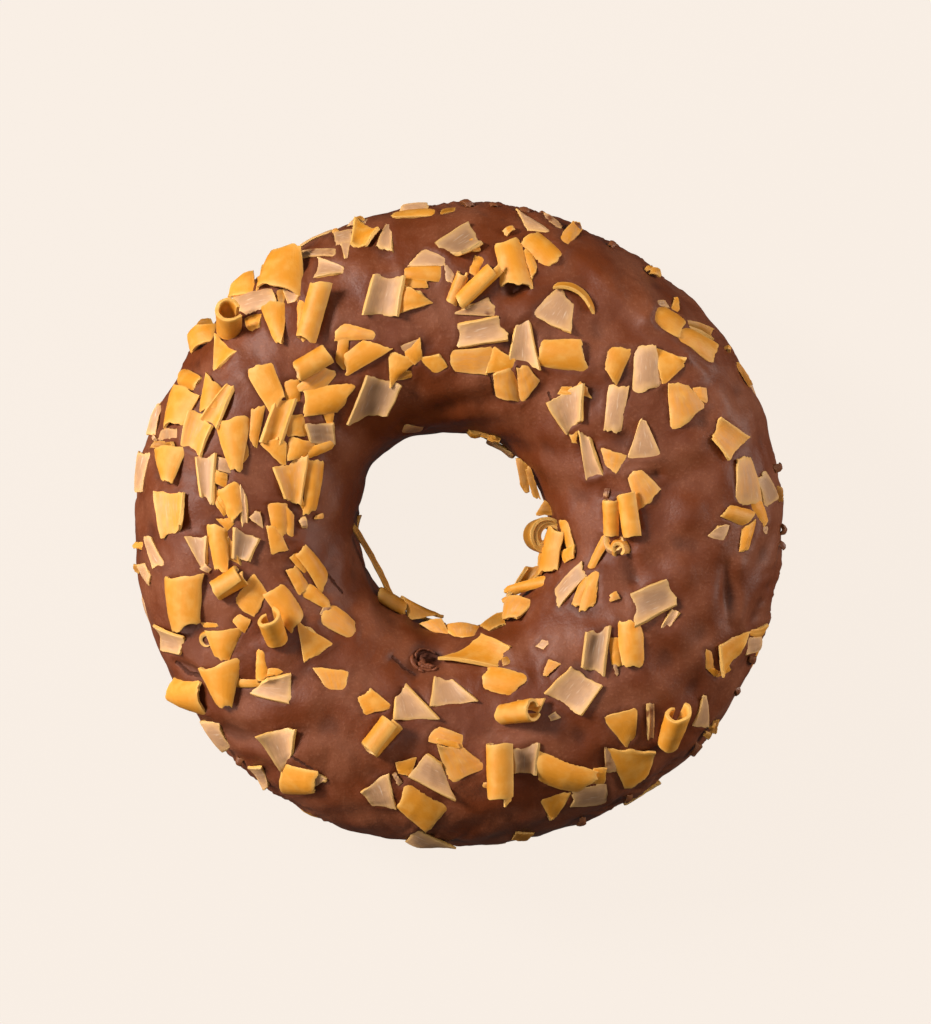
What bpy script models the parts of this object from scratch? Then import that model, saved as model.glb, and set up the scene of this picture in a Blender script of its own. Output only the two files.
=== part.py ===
"""Chocolate-coated ring doughnut strewn with curls of orange chocolate.

A ring of fried dough stands on its flat underside. A skin of set chocolate runs over its
crown, down its outer side and down its hole, to an uneven hem just above the floor. The
larger curls lie partly sunk in the skin and are one solid with it.

Metres, +Z up. The origin is on the floor under the middle of the ring.
"""
import math

import bmesh
import bpy
import numpy as np
from mathutils import Vector

MM = 0.001

# Ring: the outer circle is centred on the origin, the hole a little beside it
OUTER_RADIUS = 46.0 * MM
HOLE_RADIUS = 13.9 * MM
HOLE_X = -1.2 * MM
HOLE_Y = -0.3 * MM
EQUATOR = 15.0 * MM
CROWN = 15.0 * MM
KEEL = 19.5 * MM
ROUNDNESS = 0.9
RING_STEPS = 52

# Chocolate skin: its thickness, its gap to the dough and the angles of its two hems
SKIN = 1.5 * MM
GAP = 0.5 * MM
OUTER_HEM = math.radians(-33.0)
HOLE_HEM = math.radians(213.0)
HEM_WAVE = math.radians(3.5)
SKIN_STEPS = 14
DOUGH_STEPS = 16

# Low waves round the ring: waves per turn, height in millimetres, phase in degrees
WAVES = ((2, 0.25, 40), (3, 0.22, 205), (5, 0.18, 310), (9, 0.1, 75))

# Swellings and dents in millimetres: x, y, turn, length, width, height
RELIEF = (
    (27.0, 29.0, -46, 13.0, 2.6, 1.1), (33.5, 33.5, -46, 12.0, 4.0, -0.9),
    (31.0, 7.0, 20, 4.5, 3.5, -0.9), (28.3, 1.6, 70, 3.0, 2.2, -0.6),
    (25.7, -6.3, 40, 4.0, 2.4, -0.7), (38.0, -9.8, 90, 5.0, 1.3, -0.7),
    (-4.5, -18.6, 0, 2.6, 2.4, -0.6), (7.8, 33.6, 60, 2.0, 1.6, -0.8),
    (-17.5, -8.0, -50, 4.0, 2.0, -0.5), (-30.0, 22.0, 50, 9.0, 6.0, 0.6),
    (-24.0, -26.0, -40, 8.0, 6.0, 0.5), (14.0, -30.0, 10, 9.0, 6.0, 0.5),
    (33.0, -22.0, 60, 6.0, 5.0, -0.6), (-36.0, 0.0, 80, 9.0, 6.0, 0.5),
    (-2.0, 38.0, 5, 9.0, 5.0, 0.4), (35.0, 14.0, -60, 6.0, 4.0, 0.5),
)

# Curls: a sheet of chocolate bent across its length
SHEET = 0.7 * MM
ROLL_ARC = math.radians(290.0)
SHELL_ARC = math.radians(125.0)
TROUGH_ARC = math.radians(105.0)
TILE_ARC = math.radians(24.0)
BOW = 0.35 * MM
MOST_POINTED = 0.6
LEAN = 0.35
TILT = math.radians(7.0)
SUNK_LIMIT = 0.75 * MM
FLAT_REACH = 1.5 * MM
SIDE_SUNK = 0.55 * MM
SIDE_REACH = 0.7 * MM

ARC_MIDDLE = 0.6
EDGE_STEPS = 4

# Surface: the share of the half width that a place in plan is kept to, the height over which
# the relief fades out at the side, the step for its slope
WIDEST_SHARE = 0.97
RELIEF_FADE = 0.3
STEP = 1e-3

# Union: the distance at which corners merge and the angle under which faces count as one
MERGE = 0.002 * MM
FLAT_ANGLE = math.radians(3.0)

# The layout in millimetres and degrees: x, y, turn, length, width, then the pitch of a roll,
# how far another curl narrows towards its turn, or the arc of one that stands on its edge
ROLLS = (
    (-32.1, 28.7, 104, 5.5, 3.6, 40), (-20.4, 30.2, 79, 8.8, 3.4, 0), (-21.3, 23.6, 35, 7.0, 3.2, 0),
    (2.5, 34.2, 50, 7.0, 2.4, 0), (-0.6, 34.1, 67, 4.5, 1.7, 0), (-26.4, -15.9, 115, 4.8, 3.2, 30),
    (-11.2, -29.8, 42, 6.4, 3.2, 0), (8.0, -26.6, 10, 7.8, 3.0, 0), (5.7, -35.0, 90, 7.6, 3.7, 0),
    (22.2, 1.5, 85, 5.2, 2.4, 0), (24.4, 1.8, 97, 5.6, 2.6, 0), (38.0, -18.3, 50, 5.5, 4.0, 0),
    (29.0, -28.6, 93, 6.0, 3.4, 8), (-32.8, -8.1, 33, 5.0, 3.4, 0), (10.9, -1.5, 0, 4.0, 4.4, 90),
    (-9.0, -10.5, 160, 4.4, 2.0, 0), (9.4, -8.6, 8, 6.4, 2.4, 0),
)
SHELLS = (
    (-24.6, 36.0, 78, 6.0, 4.8, 0), (-37.2, 27.4, 60, 5.0, 4.2, 0), (-31.3, 34.3, 110, 3.6, 3.7, 0),
    (-28.6, 32.4, 20, 6.5, 3.0, 0), (-27.0, 29.8, -80, 6.0, 5.0, 0.7), (-27.6, 20.0, -64, 6.0, 4.2, 0),
    (-40.6, 17.0, 70, 6.5, 4.0, 0), (-35.6, 18.6, 80, 5.5, 3.2, 0.6), (-15.0, 27.4, -20, 5.5, 3.0, 0),
    (-14.2, 24.4, 30, 6.3, 3.6, 0.7), (-19.3, 17.9, 10, 6.5, 4.5, 0), (-5.3, 36.3, 12, 5.6, 2.2, 0),
    (-6.9, 33.0, 60, 5.5, 3.0, 0.3), (7.3, 37.6, 100, 6.2, 4.0, 0), (11.9, 39.4, -42, 6.2, 3.2, 0),
    (14.8, 24.2, -2, 7.0, 3.6, 0.2), (6.9, 20.4, -60, 5.0, 3.4, 0), (29.2, 29.4, -25, 5.5, 3.8, 0),
    (33.2, 26.0, -25, 5.5, 3.4, 0), (26.8, 22.6, 100, 5.5, 3.4, 0), (29.0, 23.3, 2, 4.4, 3.4, 0.8),
    (31.6, 17.2, -80, 5.5, 4.0, 0.7), (-41.4, 9.2, -75, 5.0, 3.8, 0.7), (-33.0, 12.3, -70, 7.0, 4.4, 0.7),
    (-32.4, 4.0, -68, 5.0, 3.0, 0), (-39.0, -10.2, 100, 7.2, 4.6, 0), (-34.6, -3.0, -75, 6.8, 3.0, 0),
    (-25.0, -11.5, -50, 6.0, 3.8, 0), (-34.0, -16.3, -75, 5.0, 4.0, 0), (-21.2, 5.5, -82, 6.8, 2.0, 0),
    (-26.0, 10.8, -40, 4.4, 3.0, 0.8), (-21.3, -6.2, -60, 7.0, 2.4, 0.6), (-17.5, -13.6, -38, 5.4, 2.8, 0),
    (-38.6, -23.5, -20, 5.2, 4.6, 0), (-34.0, -21.8, -65, 6.2, 4.6, 0.5), (-22.9, -35.9, -10, 6.0, 4.8, 0.6),
    (6.0, -22.0, -5, 6.0, 3.4, 0.6), (-12.4, -25.3, -15, 4.2, 3.0, 0), (-2.5, -30.2, -20, 5.0, 2.6, 0),
    (0.2, -33.9, -30, 6.2, 4.6, 0), (-5.4, -40.2, -42, 6.8, 3.6, 0), (15.0, -34.9, -15, 7.6, 3.8, 0),
    (24.4, -16.7, 92, 6.2, 3.6, 0), (24.5, -33.6, -100, 6.0, 4.2, 0.6), (40.7, 6.6, -80, 5.8, 2.8, 0),
    (-5.1, -11.4, -10, 5.2, 3.0, 0), (8.2, -11.9, -30, 4.6, 3.0, 0),
)
TROUGHS = (
    (-21.0, 19.9, 30, 5.5, 3.0, 0), (-26.3, 14.6, 70, 6.0, 3.0, 0), (0.3, 40.4, 30, 5.5, 3.6, 0),
    (-10.6, 32.9, 75, 5.3, 4.0, 0), (3.2, 27.6, 5, 5.6, 3.4, 0), (9.2, 25.2, 105, 6.5, 3.5, 0.6),
    (-12.0, 18.8, 60, 6.0, 4.0, 0), (15.4, 17.4, -90, 6.6, 4.2, 0.3), (22.5, 23.3, -80, 4.6, 3.2, 0.6),
    (-37.4, 12.9, 65, 6.0, 2.8, 0), (-36.3, 7.2, 80, 7.0, 2.0, 0), (-40.8, 2.3, -65, 6.4, 3.6, 0),
    (-37.2, -3.2, -60, 4.5, 3.0, 0.7), (-24.2, 6.9, -80, 5.8, 4.0, 0.7), (-19.6, 13.2, 60, 4.0, 3.4, 0),
    (-26.4, -22.9, -25, 6.0, 3.6, 0), (-25.5, -31.0, -75, 5.8, 4.0, 0.6), (2.8, -17.9, 10, 8.0, 3.4, 0),
    (-7.2, -25.7, 90, 5.0, 4.5, 0.7), (-1.9, -23.9, -10, 6.0, 3.6, 0.4), (9.4, -33.2, 70, 4.6, 3.2, 0),
    (16.1, -23.4, 45, 5.2, 4.6, 0), (19.4, -17.5, 85, 6.0, 3.0, 0), (27.6, -10.8, 25, 5.4, 3.6, 0),
    (18.8, 9.8, 100, 6.2, 2.6, 0.6), (25.7, 5.6, -60, 6.0, 3.6, 0), (38.3, 12.4, -35, 5.0, 2.8, 0),
    (15.6, -8.6, 50, 6.0, 2.6, 0),
)
TILES = (
    (14.0, 31.0, 75, 5.5, 4.5, 0), (22.3, 16.9, 83, 6.0, 2.8, 0), (26.4, 11.4, 90, 5.0, 4.2, 0.7),
    (-34.0, 24.7, 60, 4.2, 3.4, 0.8), (-28.0, 35.9, 20, 4.0, 3.2, 0.8), (-19.0, 36.7, -60, 4.0, 3.4, 0.8),
    (2.0, 23.6, 5, 5.2, 3.2, 0), (5.6, 23.6, -10, 4.2, 3.0, 0.7), (-8.6, 22.9, -30, 4.5, 3.4, 0.8),
    (-45.1, 7.4, 78, 6.0, 2.0, 0), (-21.2, -16.8, -20, 5.0, 3.6, 0.8), (-30.0, -10.1, 60, 6.0, 3.4, 0.5),
    (-34.5, -29.4, -50, 5.5, 2.2, 0), (-4.0, -36.0, -55, 6.2, 3.8, 0), (-11.2, -38.3, 10, 4.8, 3.6, 0),
    (13.4, -39.8, -90, 4.2, 3.0, 0.8), (23.6, -28.2, 30, 5.0, 4.0, 0.8), (18.5, -38.5, 3, 5.0, 2.4, 0),
)
EDGES = (
    (17.0, 33.5, -20, 9.5, 1.8, 170), (-29.8, -20.6, -35, 8.6, 2.2, 150), (40.3, 0.3, -30, 7.6, 2.2, 170),
)

# Kinds of curl: steps across the arc, the arc, whether it lies hollow side up and how far the
# deepest edge sinks in
KINDS = (
    ("roll", ROLLS, 5, ROLL_ARC, False, 0.6), ("shell", SHELLS, 3, SHELL_ARC, False, 0.7),
    ("trough", TROUGHS, 3, TROUGH_ARC, True, 0.3), ("tile", TILES, 1, TILE_ARC, False, 0.3),
)

# Curls on the lower outer side and in the hole, spaced round by a rule: how many, the angle
# of the section that they keep to, its spread, their length, width and point
SIDE_BANDS = (
    (15, 12.0, 9.0, 5.4, 3.2, 0.0), (11, -14.0, 7.0, 5.0, 3.0, 0.5), (4, 184.0, 8.0, 4.8, 2.6, 0.0),
)

UNEVEN_SPACING = 0.3
UNEVEN_SIZE = 0.2

DOUGH_COLOUR = (0.42, 0.20, 0.07, 1.0)
CHOCOLATE_COLOUR = (0.155, 0.048, 0.024, 1.0)
DOUGH_ROUGHNESS = 0.8
CHOCOLATE_ROUGHNESS = 0.45


def clear_scene():
    for thing in list(bpy.data.objects):
        bpy.data.objects.remove(thing)


def finish(name, colour, roughness):
    """A Principled material of one colour."""
    material = bpy.data.materials.new(name)
    material.use_nodes = True
    shader = material.node_tree.nodes["Principled BSDF"]
    shader.inputs["Base Color"].default_value = colour
    shader.inputs["Roughness"].default_value = roughness
    shader.inputs["Metallic"].default_value = 0.0
    return material


def waves(theta):
    """The low waves round the ring, a sum of sines of the angle."""
    total = np.zeros_like(theta)
    for count, height, phase in WAVES:
        total += height * MM * np.sin(count * theta + math.radians(phase))
    return total


def section(theta):
    """Middle radius and half width of the ring's cross-section at an angle round it."""
    inner = HOLE_RADIUS + HOLE_X * np.cos(theta) + HOLE_Y * np.sin(theta)
    return (OUTER_RADIUS + inner) / 2, (OUTER_RADIUS - inner) / 2


def rounded(value):
    """A sine or cosine raised to the section's roundness, keeping its sign."""
    return np.sign(value) * np.abs(value) ** ROUNDNESS


def swelling(theta, phi):
    """How far the surface stands out: the waves, and bell curves in plan that fade below the crown."""
    middle, half = section(theta)
    radius = middle + half * rounded(np.cos(phi))
    x = radius * np.cos(theta) / MM
    y = radius * np.sin(theta) / MM
    total = np.zeros_like(x)
    for centre_x, centre_y, turn, length, width, height in RELIEF:
        cosine, sine = math.cos(math.radians(turn)), math.sin(math.radians(turn))
        along = (x - centre_x) * cosine + (y - centre_y) * sine
        across = (y - centre_y) * cosine - (x - centre_x) * sine
        total += height * MM * np.exp(-(along / length) ** 2 - (across / width) ** 2)
    return total * np.clip(np.sin(phi) / RELIEF_FADE, 0.0, 1.0) + waves(theta)


def ring_point(theta, phi, inset):
    """Point at an angle round the ring and an angle round its section, set in below the surface."""
    middle, half = section(theta)
    out = swelling(theta, phi) - inset
    height = np.where(np.sin(phi) > 0, CROWN, KEEL)
    radius = middle + (half + out) * rounded(np.cos(phi))
    z = EQUATOR + (height + out) * rounded(np.sin(phi))
    return np.stack((radius * np.cos(theta), radius * np.sin(theta), z), axis=-1)


def ring_depth(points):
    """How deep points lie below the coated surface, measured towards the middle of the section."""
    theta = np.arctan2(points[:, 1], points[:, 0])
    middle, half = section(theta)
    across = np.hypot(points[:, 0], points[:, 1]) - middle
    up = points[:, 2] - EQUATOR
    phi = np.arctan2(rounded_back(up / CROWN), rounded_back(across / half))
    height = np.where(up > 0, CROWN, KEEL)
    power = 2 / ROUNDNESS
    level = (np.abs(across / half) ** power + np.abs(up / height) ** power) ** (1 / power)
    return np.hypot(across, up) * (1 / level - 1) + swelling(theta, phi)


def rounded_back(value):
    """The opposite of rounded."""
    return np.sign(value) * np.abs(value) ** (1 / ROUNDNESS)


def place_angles(x, y):
    """Angles round the ring and its section of the crown's point over a place in plan."""
    theta = np.arctan2(y, x)
    middle, half = section(theta)
    share = np.clip((math.hypot(x, y) - middle) / half, -WIDEST_SHARE, WIDEST_SHARE)
    return theta, np.arccos(rounded_back(share))


def seat(theta, phi):
    """Point and outward direction of the surface at two angles."""
    angles = np.array((theta, theta + STEP, theta)), np.array((phi, phi, phi + STEP))
    here, round_ring, round_section = ring_point(*angles, 0.0)
    normal = Vector(np.cross(round_ring - here, round_section - here)).normalized()
    return Vector(here), normal


def chance(x, y, salt):
    """An even number from -1 to 1 that depends on the place alone, so a curl always lies the same way."""
    return 2 * ((math.sin(x * 12.9898 + y * 78.233 + salt * 37.719) * 43758.5453) % 1.0) - 1


def turned(first, second, angle):
    """Two directions at right angles, both turned in their own plane from the first to the second."""
    sine, cosine = math.sin(angle), math.cos(angle)
    return first * cosine + second * sine, second * cosine - first * sine


def bent_sheet(steps, arc, length, width, point, cupped):
    """Grid bent to an arc of a circle across, narrowed to a point at one end and bowed along."""
    mesh = bmesh.new()
    bmesh.ops.create_grid(mesh, x_segments=1, y_segments=steps, size=1.0)
    grid = np.array([vertex.co for vertex in mesh.verts])
    radius = width / 2 / math.sin(min(arc / 2, math.pi / 2))
    radius = radius * (1 - min(point, MOST_POINTED) * (grid[:, 0] + 1) / 2)
    angle = grid[:, 1] * arc / 2
    rise = radius * (np.cos(angle) - 1) - BOW * grid[:, 0] ** 2
    if cupped:
        rise = -rise
    return mesh, np.stack((grid[:, 0] * length / 2, radius * np.sin(angle), rise), axis=-1)


def upright_sheet(steps, arc, length, height):
    """Grid standing on its edge and bent in plan to an arc."""
    mesh = bmesh.new()
    bmesh.ops.create_grid(mesh, x_segments=steps, y_segments=1, size=1.0)
    grid = np.array([vertex.co for vertex in mesh.verts])
    radius = length / arc
    angle = grid[:, 0] * arc / 2
    across = radius * (np.cos(angle) - ARC_MIDDLE)
    return mesh, np.stack((radius * np.sin(angle), across, grid[:, 1] * height / 2), axis=-1)


def settle(points, outward, sunk, reach):
    """Points pressed along the outward direction until the deepest is sunk so far.

    Points past the deepest limit are pushed out and points above the reach are drawn in, as a
    thin curl gives while the chocolate is warm.
    """
    for _ in range(3):
        points = points + np.array(outward) * (ring_depth(points).max() - sunk)
    for _ in range(2):
        depth = ring_depth(points)
        push = np.clip(depth - SUNK_LIMIT, 0.0, None) - np.clip(-reach - depth, 0.0, None)
        points = points + np.array(outward) * push[:, None]
    return points


def lay(name, folder, sheet, angles, turn, pitch, sunk, reach):
    """A curl laid on the ring: turned in plan, tipped up at one end, pressed in, given its thickness."""
    mesh, local = sheet
    point, normal = seat(*angles)
    up = normal
    if math.sin(angles[1]) > 0:
        up = (normal * (1 - LEAN) + Vector((0, 0, 1)) * LEAN).normalized()
    heading = Vector((math.cos(turn), math.sin(turn), 0.0))
    along = (heading - up * heading.dot(up)).normalized()
    across = up.cross(along)
    roll = TILT * chance(point.x / MM, point.y / MM, 1)
    pitch = pitch + TILT * chance(point.x / MM, point.y / MM, 2)
    along, up = turned(along, up, pitch)
    across, up = turned(across, up, roll)
    points = np.array(point) + local @ np.array((along, across, up))
    points = settle(points, normal, sunk, reach)
    for vertex, place in zip(mesh.verts, points):
        vertex.co = place
    data = bpy.data.meshes.new(name)
    mesh.to_mesh(data)
    mesh.free()
    curl = bpy.data.objects.new(name, data)
    folder.objects.link(curl)
    wall = curl.modifiers.new("thickness", "SOLIDIFY")
    wall.thickness = SHEET
    wall.offset = 0.0
    return curl


def lay_curls(folder):
    """Every curl of the layout, then the bands low on the side and in the hole."""
    for kind, rows, steps, arc, cupped, sunk in KINDS:
        for x, y, turn, length, width, last in rows:
            angles = place_angles(x * MM, y * MM)
            pitch, point = (math.radians(last), 0.0) if kind == "roll" else (0.0, last)
            sheet = bent_sheet(steps, arc, length * MM, width * MM, point, cupped)
            reach = (width + length * math.sin(pitch)) * MM if kind == "roll" else FLAT_REACH
            lay(kind, folder, sheet, angles, math.radians(turn), pitch, sunk * MM, reach)
    for x, y, turn, length, height, arc in EDGES:
        angles = place_angles(x * MM, y * MM)
        sheet = upright_sheet(EDGE_STEPS, math.radians(arc), length * MM, height * MM)
        lay("edge", folder, sheet, angles, math.radians(turn), 0.0, SUNK_LIMIT, height * MM)
    for count, low, spread, length, width, point in SIDE_BANDS:
        for index in range(count):
            theta = 2 * math.pi * (index + UNEVEN_SPACING * chance(index, low, 3)) / count
            phi = math.radians(low + spread * chance(index, low, 4))
            size = 1 + UNEVEN_SIZE * chance(index, low, 5)
            sheet = bent_sheet(3, SHELL_ARC, length * size * MM, width * size * MM, point, index % 3 == 2)
            turn = math.pi * chance(index, low, 6)
            lay("side", folder, sheet, (theta, phi), turn, 0.0, SIDE_SUNK, SIDE_REACH)


def hem_angle(base, theta, phase):
    """A hem's angle in the section, which wanders as it goes round."""
    return base + HEM_WAVE * (0.6 * np.sin(4 * theta + phase) + 0.4 * np.sin(11 * theta + 2 * phase))


def make_dough(home):
    """Ring of dough: a torus moved onto the section, set in below the skin and cut flat by the floor."""
    bpy.ops.mesh.primitive_torus_add(major_segments=RING_STEPS, minor_segments=DOUGH_STEPS,
                                     major_radius=2.0, minor_radius=1.0)
    dough = bpy.context.object
    dough.name = "dough_ring"
    start = np.array([vertex.co for vertex in dough.data.vertices])
    theta = np.arctan2(start[:, 1], start[:, 0])
    phi = np.arctan2(start[:, 2], np.hypot(start[:, 0], start[:, 1]) - 2.0)
    places = ring_point(theta, phi, SKIN + GAP)
    places[:, 2] = np.maximum(places[:, 2], 0.0)
    dough.data.vertices.foreach_set("co", places.ravel())
    dough.data.materials.append(finish("fried_dough", DOUGH_COLOUR, DOUGH_ROUGHNESS))
    gather(dough, home)


def make_skin(home):
    """Open sheet from the outer hem over the crown to the hem in the hole, thickened inwards."""
    mesh = bmesh.new()
    bmesh.ops.create_grid(mesh, x_segments=RING_STEPS, y_segments=SKIN_STEPS, size=1.0)
    grid = np.array([vertex.co for vertex in mesh.verts])
    theta = math.pi * (grid[:, 0] + 1)
    share = (grid[:, 1] + 1) / 2
    phi = hem_angle(OUTER_HEM, theta, 1.0) * (1 - share) + hem_angle(HOLE_HEM, theta, 2.5) * share
    for vertex, place in zip(mesh.verts, ring_point(theta, phi, 0.0)):
        vertex.co = place
    bmesh.ops.remove_doubles(mesh, verts=mesh.verts, dist=0.01 * MM)
    data = bpy.data.meshes.new("chocolate_coat")
    mesh.to_mesh(data)
    mesh.free()
    skin = bpy.data.objects.new("chocolate_coat", data)
    home.objects.link(skin)
    wall = skin.modifiers.new("thickness", "SOLIDIFY")
    wall.thickness = SKIN
    wall.offset = -1.0
    wall.use_even_offset = True
    skin.data.materials.append(finish("milk_chocolate", CHOCOLATE_COLOUR, CHOCOLATE_ROUGHNESS))
    return skin


def fuse(skin, folder):
    """Joins the curls to the skin by one union, applies it and removes the loose curls."""
    union = skin.modifiers.new("curls", "BOOLEAN")
    union.operation = "UNION"
    union.operand_type = "COLLECTION"
    union.collection = folder
    union.solver = "EXACT"
    bpy.context.view_layer.update()
    evaluated = skin.evaluated_get(bpy.context.evaluated_depsgraph_get())
    joined = bpy.data.meshes.new_from_object(evaluated)
    skin.modifiers.clear()
    skin.data = joined
    for curl in list(folder.objects):
        bpy.data.objects.remove(curl)
    bpy.data.collections.remove(folder)
    keep_largest(joined)


def drop_twins(mesh):
    """Removes pairs of triangles on the same three corners, flat folds that enclose nothing."""
    twins = {}
    for face in mesh.faces:
        twins.setdefault(frozenset(face.verts), []).append(face)
    folded = [face for faces in twins.values() if len(faces) > 1 for face in faces]
    bmesh.ops.delete(mesh, geom=folded, context="FACES")


def keep_largest(data):
    """Drops loose scraps and fills sealed hollows: of the closed surfaces only the largest stays."""
    mesh = bmesh.new()
    mesh.from_mesh(data)
    bmesh.ops.remove_doubles(mesh, verts=mesh.verts, dist=MERGE)
    bmesh.ops.dissolve_limit(mesh, angle_limit=FLAT_ANGLE, verts=mesh.verts, edges=mesh.edges)
    bmesh.ops.triangulate(mesh, faces=mesh.faces)
    drop_twins(mesh)
    left = set(mesh.verts)
    groups = []
    while left:
        group, edge_of_group = set(), [left.pop()]
        while edge_of_group:
            vertex = edge_of_group.pop()
            group.add(vertex)
            near = {edge.other_vert(vertex) for edge in vertex.link_edges} & left
            left -= near
            edge_of_group.extend(near)
        groups.append(group)
    largest = max(groups, key=len)
    scraps = [vertex for group in groups if group is not largest for vertex in group]
    bmesh.ops.delete(mesh, geom=scraps, context="VERTS")
    mesh.to_mesh(data)
    mesh.free()


def gather(thing, home):
    """Moves an object made by an operator into the part's collection, shaded smooth."""
    for folder in thing.users_collection:
        folder.objects.unlink(thing)
    home.objects.link(thing)
    thing.data.shade_smooth()


def main():
    clear_scene()
    home = bpy.data.collections.new("ring_doughnut")
    bpy.context.scene.collection.children.link(home)
    loose = bpy.data.collections.new("loose_curls")
    bpy.context.scene.collection.children.link(loose)
    make_dough(home)
    skin = make_skin(home)
    lay_curls(loose)
    fuse(skin, loose)
    skin.data.set_sharp_from_angle(angle=math.radians(35.0))


main()
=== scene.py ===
"""Chocolate-coated ring doughnut strewn with curls of orange chocolate, laid out as an add-on.

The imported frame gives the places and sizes. Over it come a fried ring with its crust, the
set chocolate skin, the curls by kind, the chips and the scraped threads, then the floor, the
lights and the camera straight above.
"""
import math
from functools import partialmethod

import bpy
import numpy as np
from bpy.props import FloatProperty, FloatVectorProperty, IntProperty, PointerProperty
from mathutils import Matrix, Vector


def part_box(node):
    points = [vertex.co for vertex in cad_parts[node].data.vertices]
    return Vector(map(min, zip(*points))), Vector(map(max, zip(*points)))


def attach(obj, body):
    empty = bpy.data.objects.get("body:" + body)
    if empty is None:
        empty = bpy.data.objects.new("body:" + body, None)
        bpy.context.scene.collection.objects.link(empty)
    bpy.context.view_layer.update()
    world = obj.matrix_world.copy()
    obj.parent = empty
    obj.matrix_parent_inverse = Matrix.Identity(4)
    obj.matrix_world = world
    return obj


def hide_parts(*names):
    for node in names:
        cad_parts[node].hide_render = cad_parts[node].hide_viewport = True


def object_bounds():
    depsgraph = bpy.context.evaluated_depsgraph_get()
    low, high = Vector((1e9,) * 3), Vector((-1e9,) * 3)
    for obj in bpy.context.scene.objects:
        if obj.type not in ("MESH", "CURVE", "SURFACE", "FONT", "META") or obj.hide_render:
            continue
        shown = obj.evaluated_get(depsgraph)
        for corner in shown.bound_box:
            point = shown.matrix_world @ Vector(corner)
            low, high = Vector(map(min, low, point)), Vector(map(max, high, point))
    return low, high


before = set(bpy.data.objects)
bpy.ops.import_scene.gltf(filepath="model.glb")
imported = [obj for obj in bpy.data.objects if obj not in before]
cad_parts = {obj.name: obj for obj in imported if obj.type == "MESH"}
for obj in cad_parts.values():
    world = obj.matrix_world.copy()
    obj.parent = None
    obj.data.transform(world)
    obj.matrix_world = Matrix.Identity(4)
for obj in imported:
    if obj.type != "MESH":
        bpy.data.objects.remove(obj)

bl_info = {
    "name": "Chocolate ring doughnut",
    "version": (1, 0, 0),
    "blender": (4, 5, 0),
    "location": "3D Viewport > Sidebar > Doughnut",
    "description": "Dresses a ring doughnut in set chocolate and strews it with chocolate curls",
    "category": "Add Mesh",
}

MM = 0.001
CAD_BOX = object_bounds()
DOUGH_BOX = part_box("dough_ring")

# Low waves round the ring: waves per turn, height in millimetres, phase in degrees
WAVES = ((2, 0.25, 40), (3, 0.22, 205), (5, 0.18, 310), (9, 0.1, 75))

# Swellings and dents in millimetres: x, y, turn, length, width, height
RELIEF = (
    (27.0, 29.0, -46, 13.0, 2.6, 1.1), (33.5, 33.5, -46, 12.0, 4.0, -0.9),
    (31.0, 7.0, 20, 4.5, 3.5, -0.9), (28.3, 1.6, 70, 3.0, 2.2, -0.6),
    (25.7, -6.3, 40, 4.0, 2.4, -0.7), (38.0, -9.8, 90, 5.0, 1.3, -0.7),
    (-4.5, -18.6, 0, 2.6, 2.4, -0.6), (7.8, 33.6, 60, 2.0, 1.6, -0.8),
    (-17.5, -8.0, -50, 4.0, 2.0, -0.5), (-30.0, 22.0, 50, 9.0, 6.0, 0.6),
    (-24.0, -26.0, -40, 8.0, 6.0, 0.5), (14.0, -30.0, 10, 9.0, 6.0, 0.5),
    (33.0, -22.0, 60, 6.0, 5.0, -0.6), (-36.0, 0.0, 80, 9.0, 6.0, 0.5),
    (-2.0, 38.0, 5, 9.0, 5.0, 0.4), (35.0, 14.0, -60, 6.0, 4.0, 0.5),
)
RELIEF_FADE = 0.3
WIDEST_SHARE = 0.97
ANGLE_STEP = 1e-3

# Numbers that scatter the sines behind every chance
CHANCE_X = 12.9898
CHANCE_Y = 78.233
CHANCE_SALT = 37.719
CHANCE_GAIN = 43758.5453
JAG_SALT = 7.31

# Hems of the skin: base angles in the section, how far they wander, in waves given by their
# share, number round the ring and phase, and the foot along them
OUTER_HEM = math.radians(-33.0)
HOLE_HEM = math.radians(213.0)
HEM_WAVE = math.radians(3.5)
HEM_WAVES = ((0.6, 4, 1), (0.4, 11, 2))
HEM_FOOT = 0.35 * MM
HEM_FOOT_ANGLE = math.radians(5.0)

# Lumps of the skin as height and wavelength in millimetres and salt, then its crumbly patches
# near the widest line, and where a hollow of the relief is darkened as painted shade
SKIN_LUMPS = ((0.20, 6.0, 5), (0.035, 2.6, 6))
CRUMBLE_LUMPS = (0.16, 1.5, 9)
CRUMBLE_SPREAD = 16 * MM
CRUMBLE_RANGE = (-0.1, 0.7)
CRUMBLE_MIDDLE = 0.1
CRUMBLE_REACH = 0.5
FOLD_LIMIT = math.radians(150.0)
PAINTED_DENT_SHADE_RANGE = (0.12, 0.4)
CRUST_LUMP = 0.1 * MM
CRUST_WAVELENGTH = 5 * MM

# What the skin does at a curl: height and reach of the ridge at its rim and of the print under
# it, in metres, how near the surface either has to be, how dark the ridge's skin is painted as a
# contact shadow beside the curl and how dark the swirl's skin is, and how thin a share of the
# skin's thickness still counts as its outside
RIDGE = (0.30 * MM, 0.55 * MM)
PRINT = (0.40 * MM, 0.6 * MM)
RIDGE_DEPTH = -0.45 * MM
PRINT_DEPTH = -0.7 * MM
PRINT_SHARE = 0.72
NEAR_CURL = 2.5 * MM
RIDGE_PAINTED_SHADE = 0.3
SWIRL_DARK = 0.7
OUTSIDE_SHARE = 0.2

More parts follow.
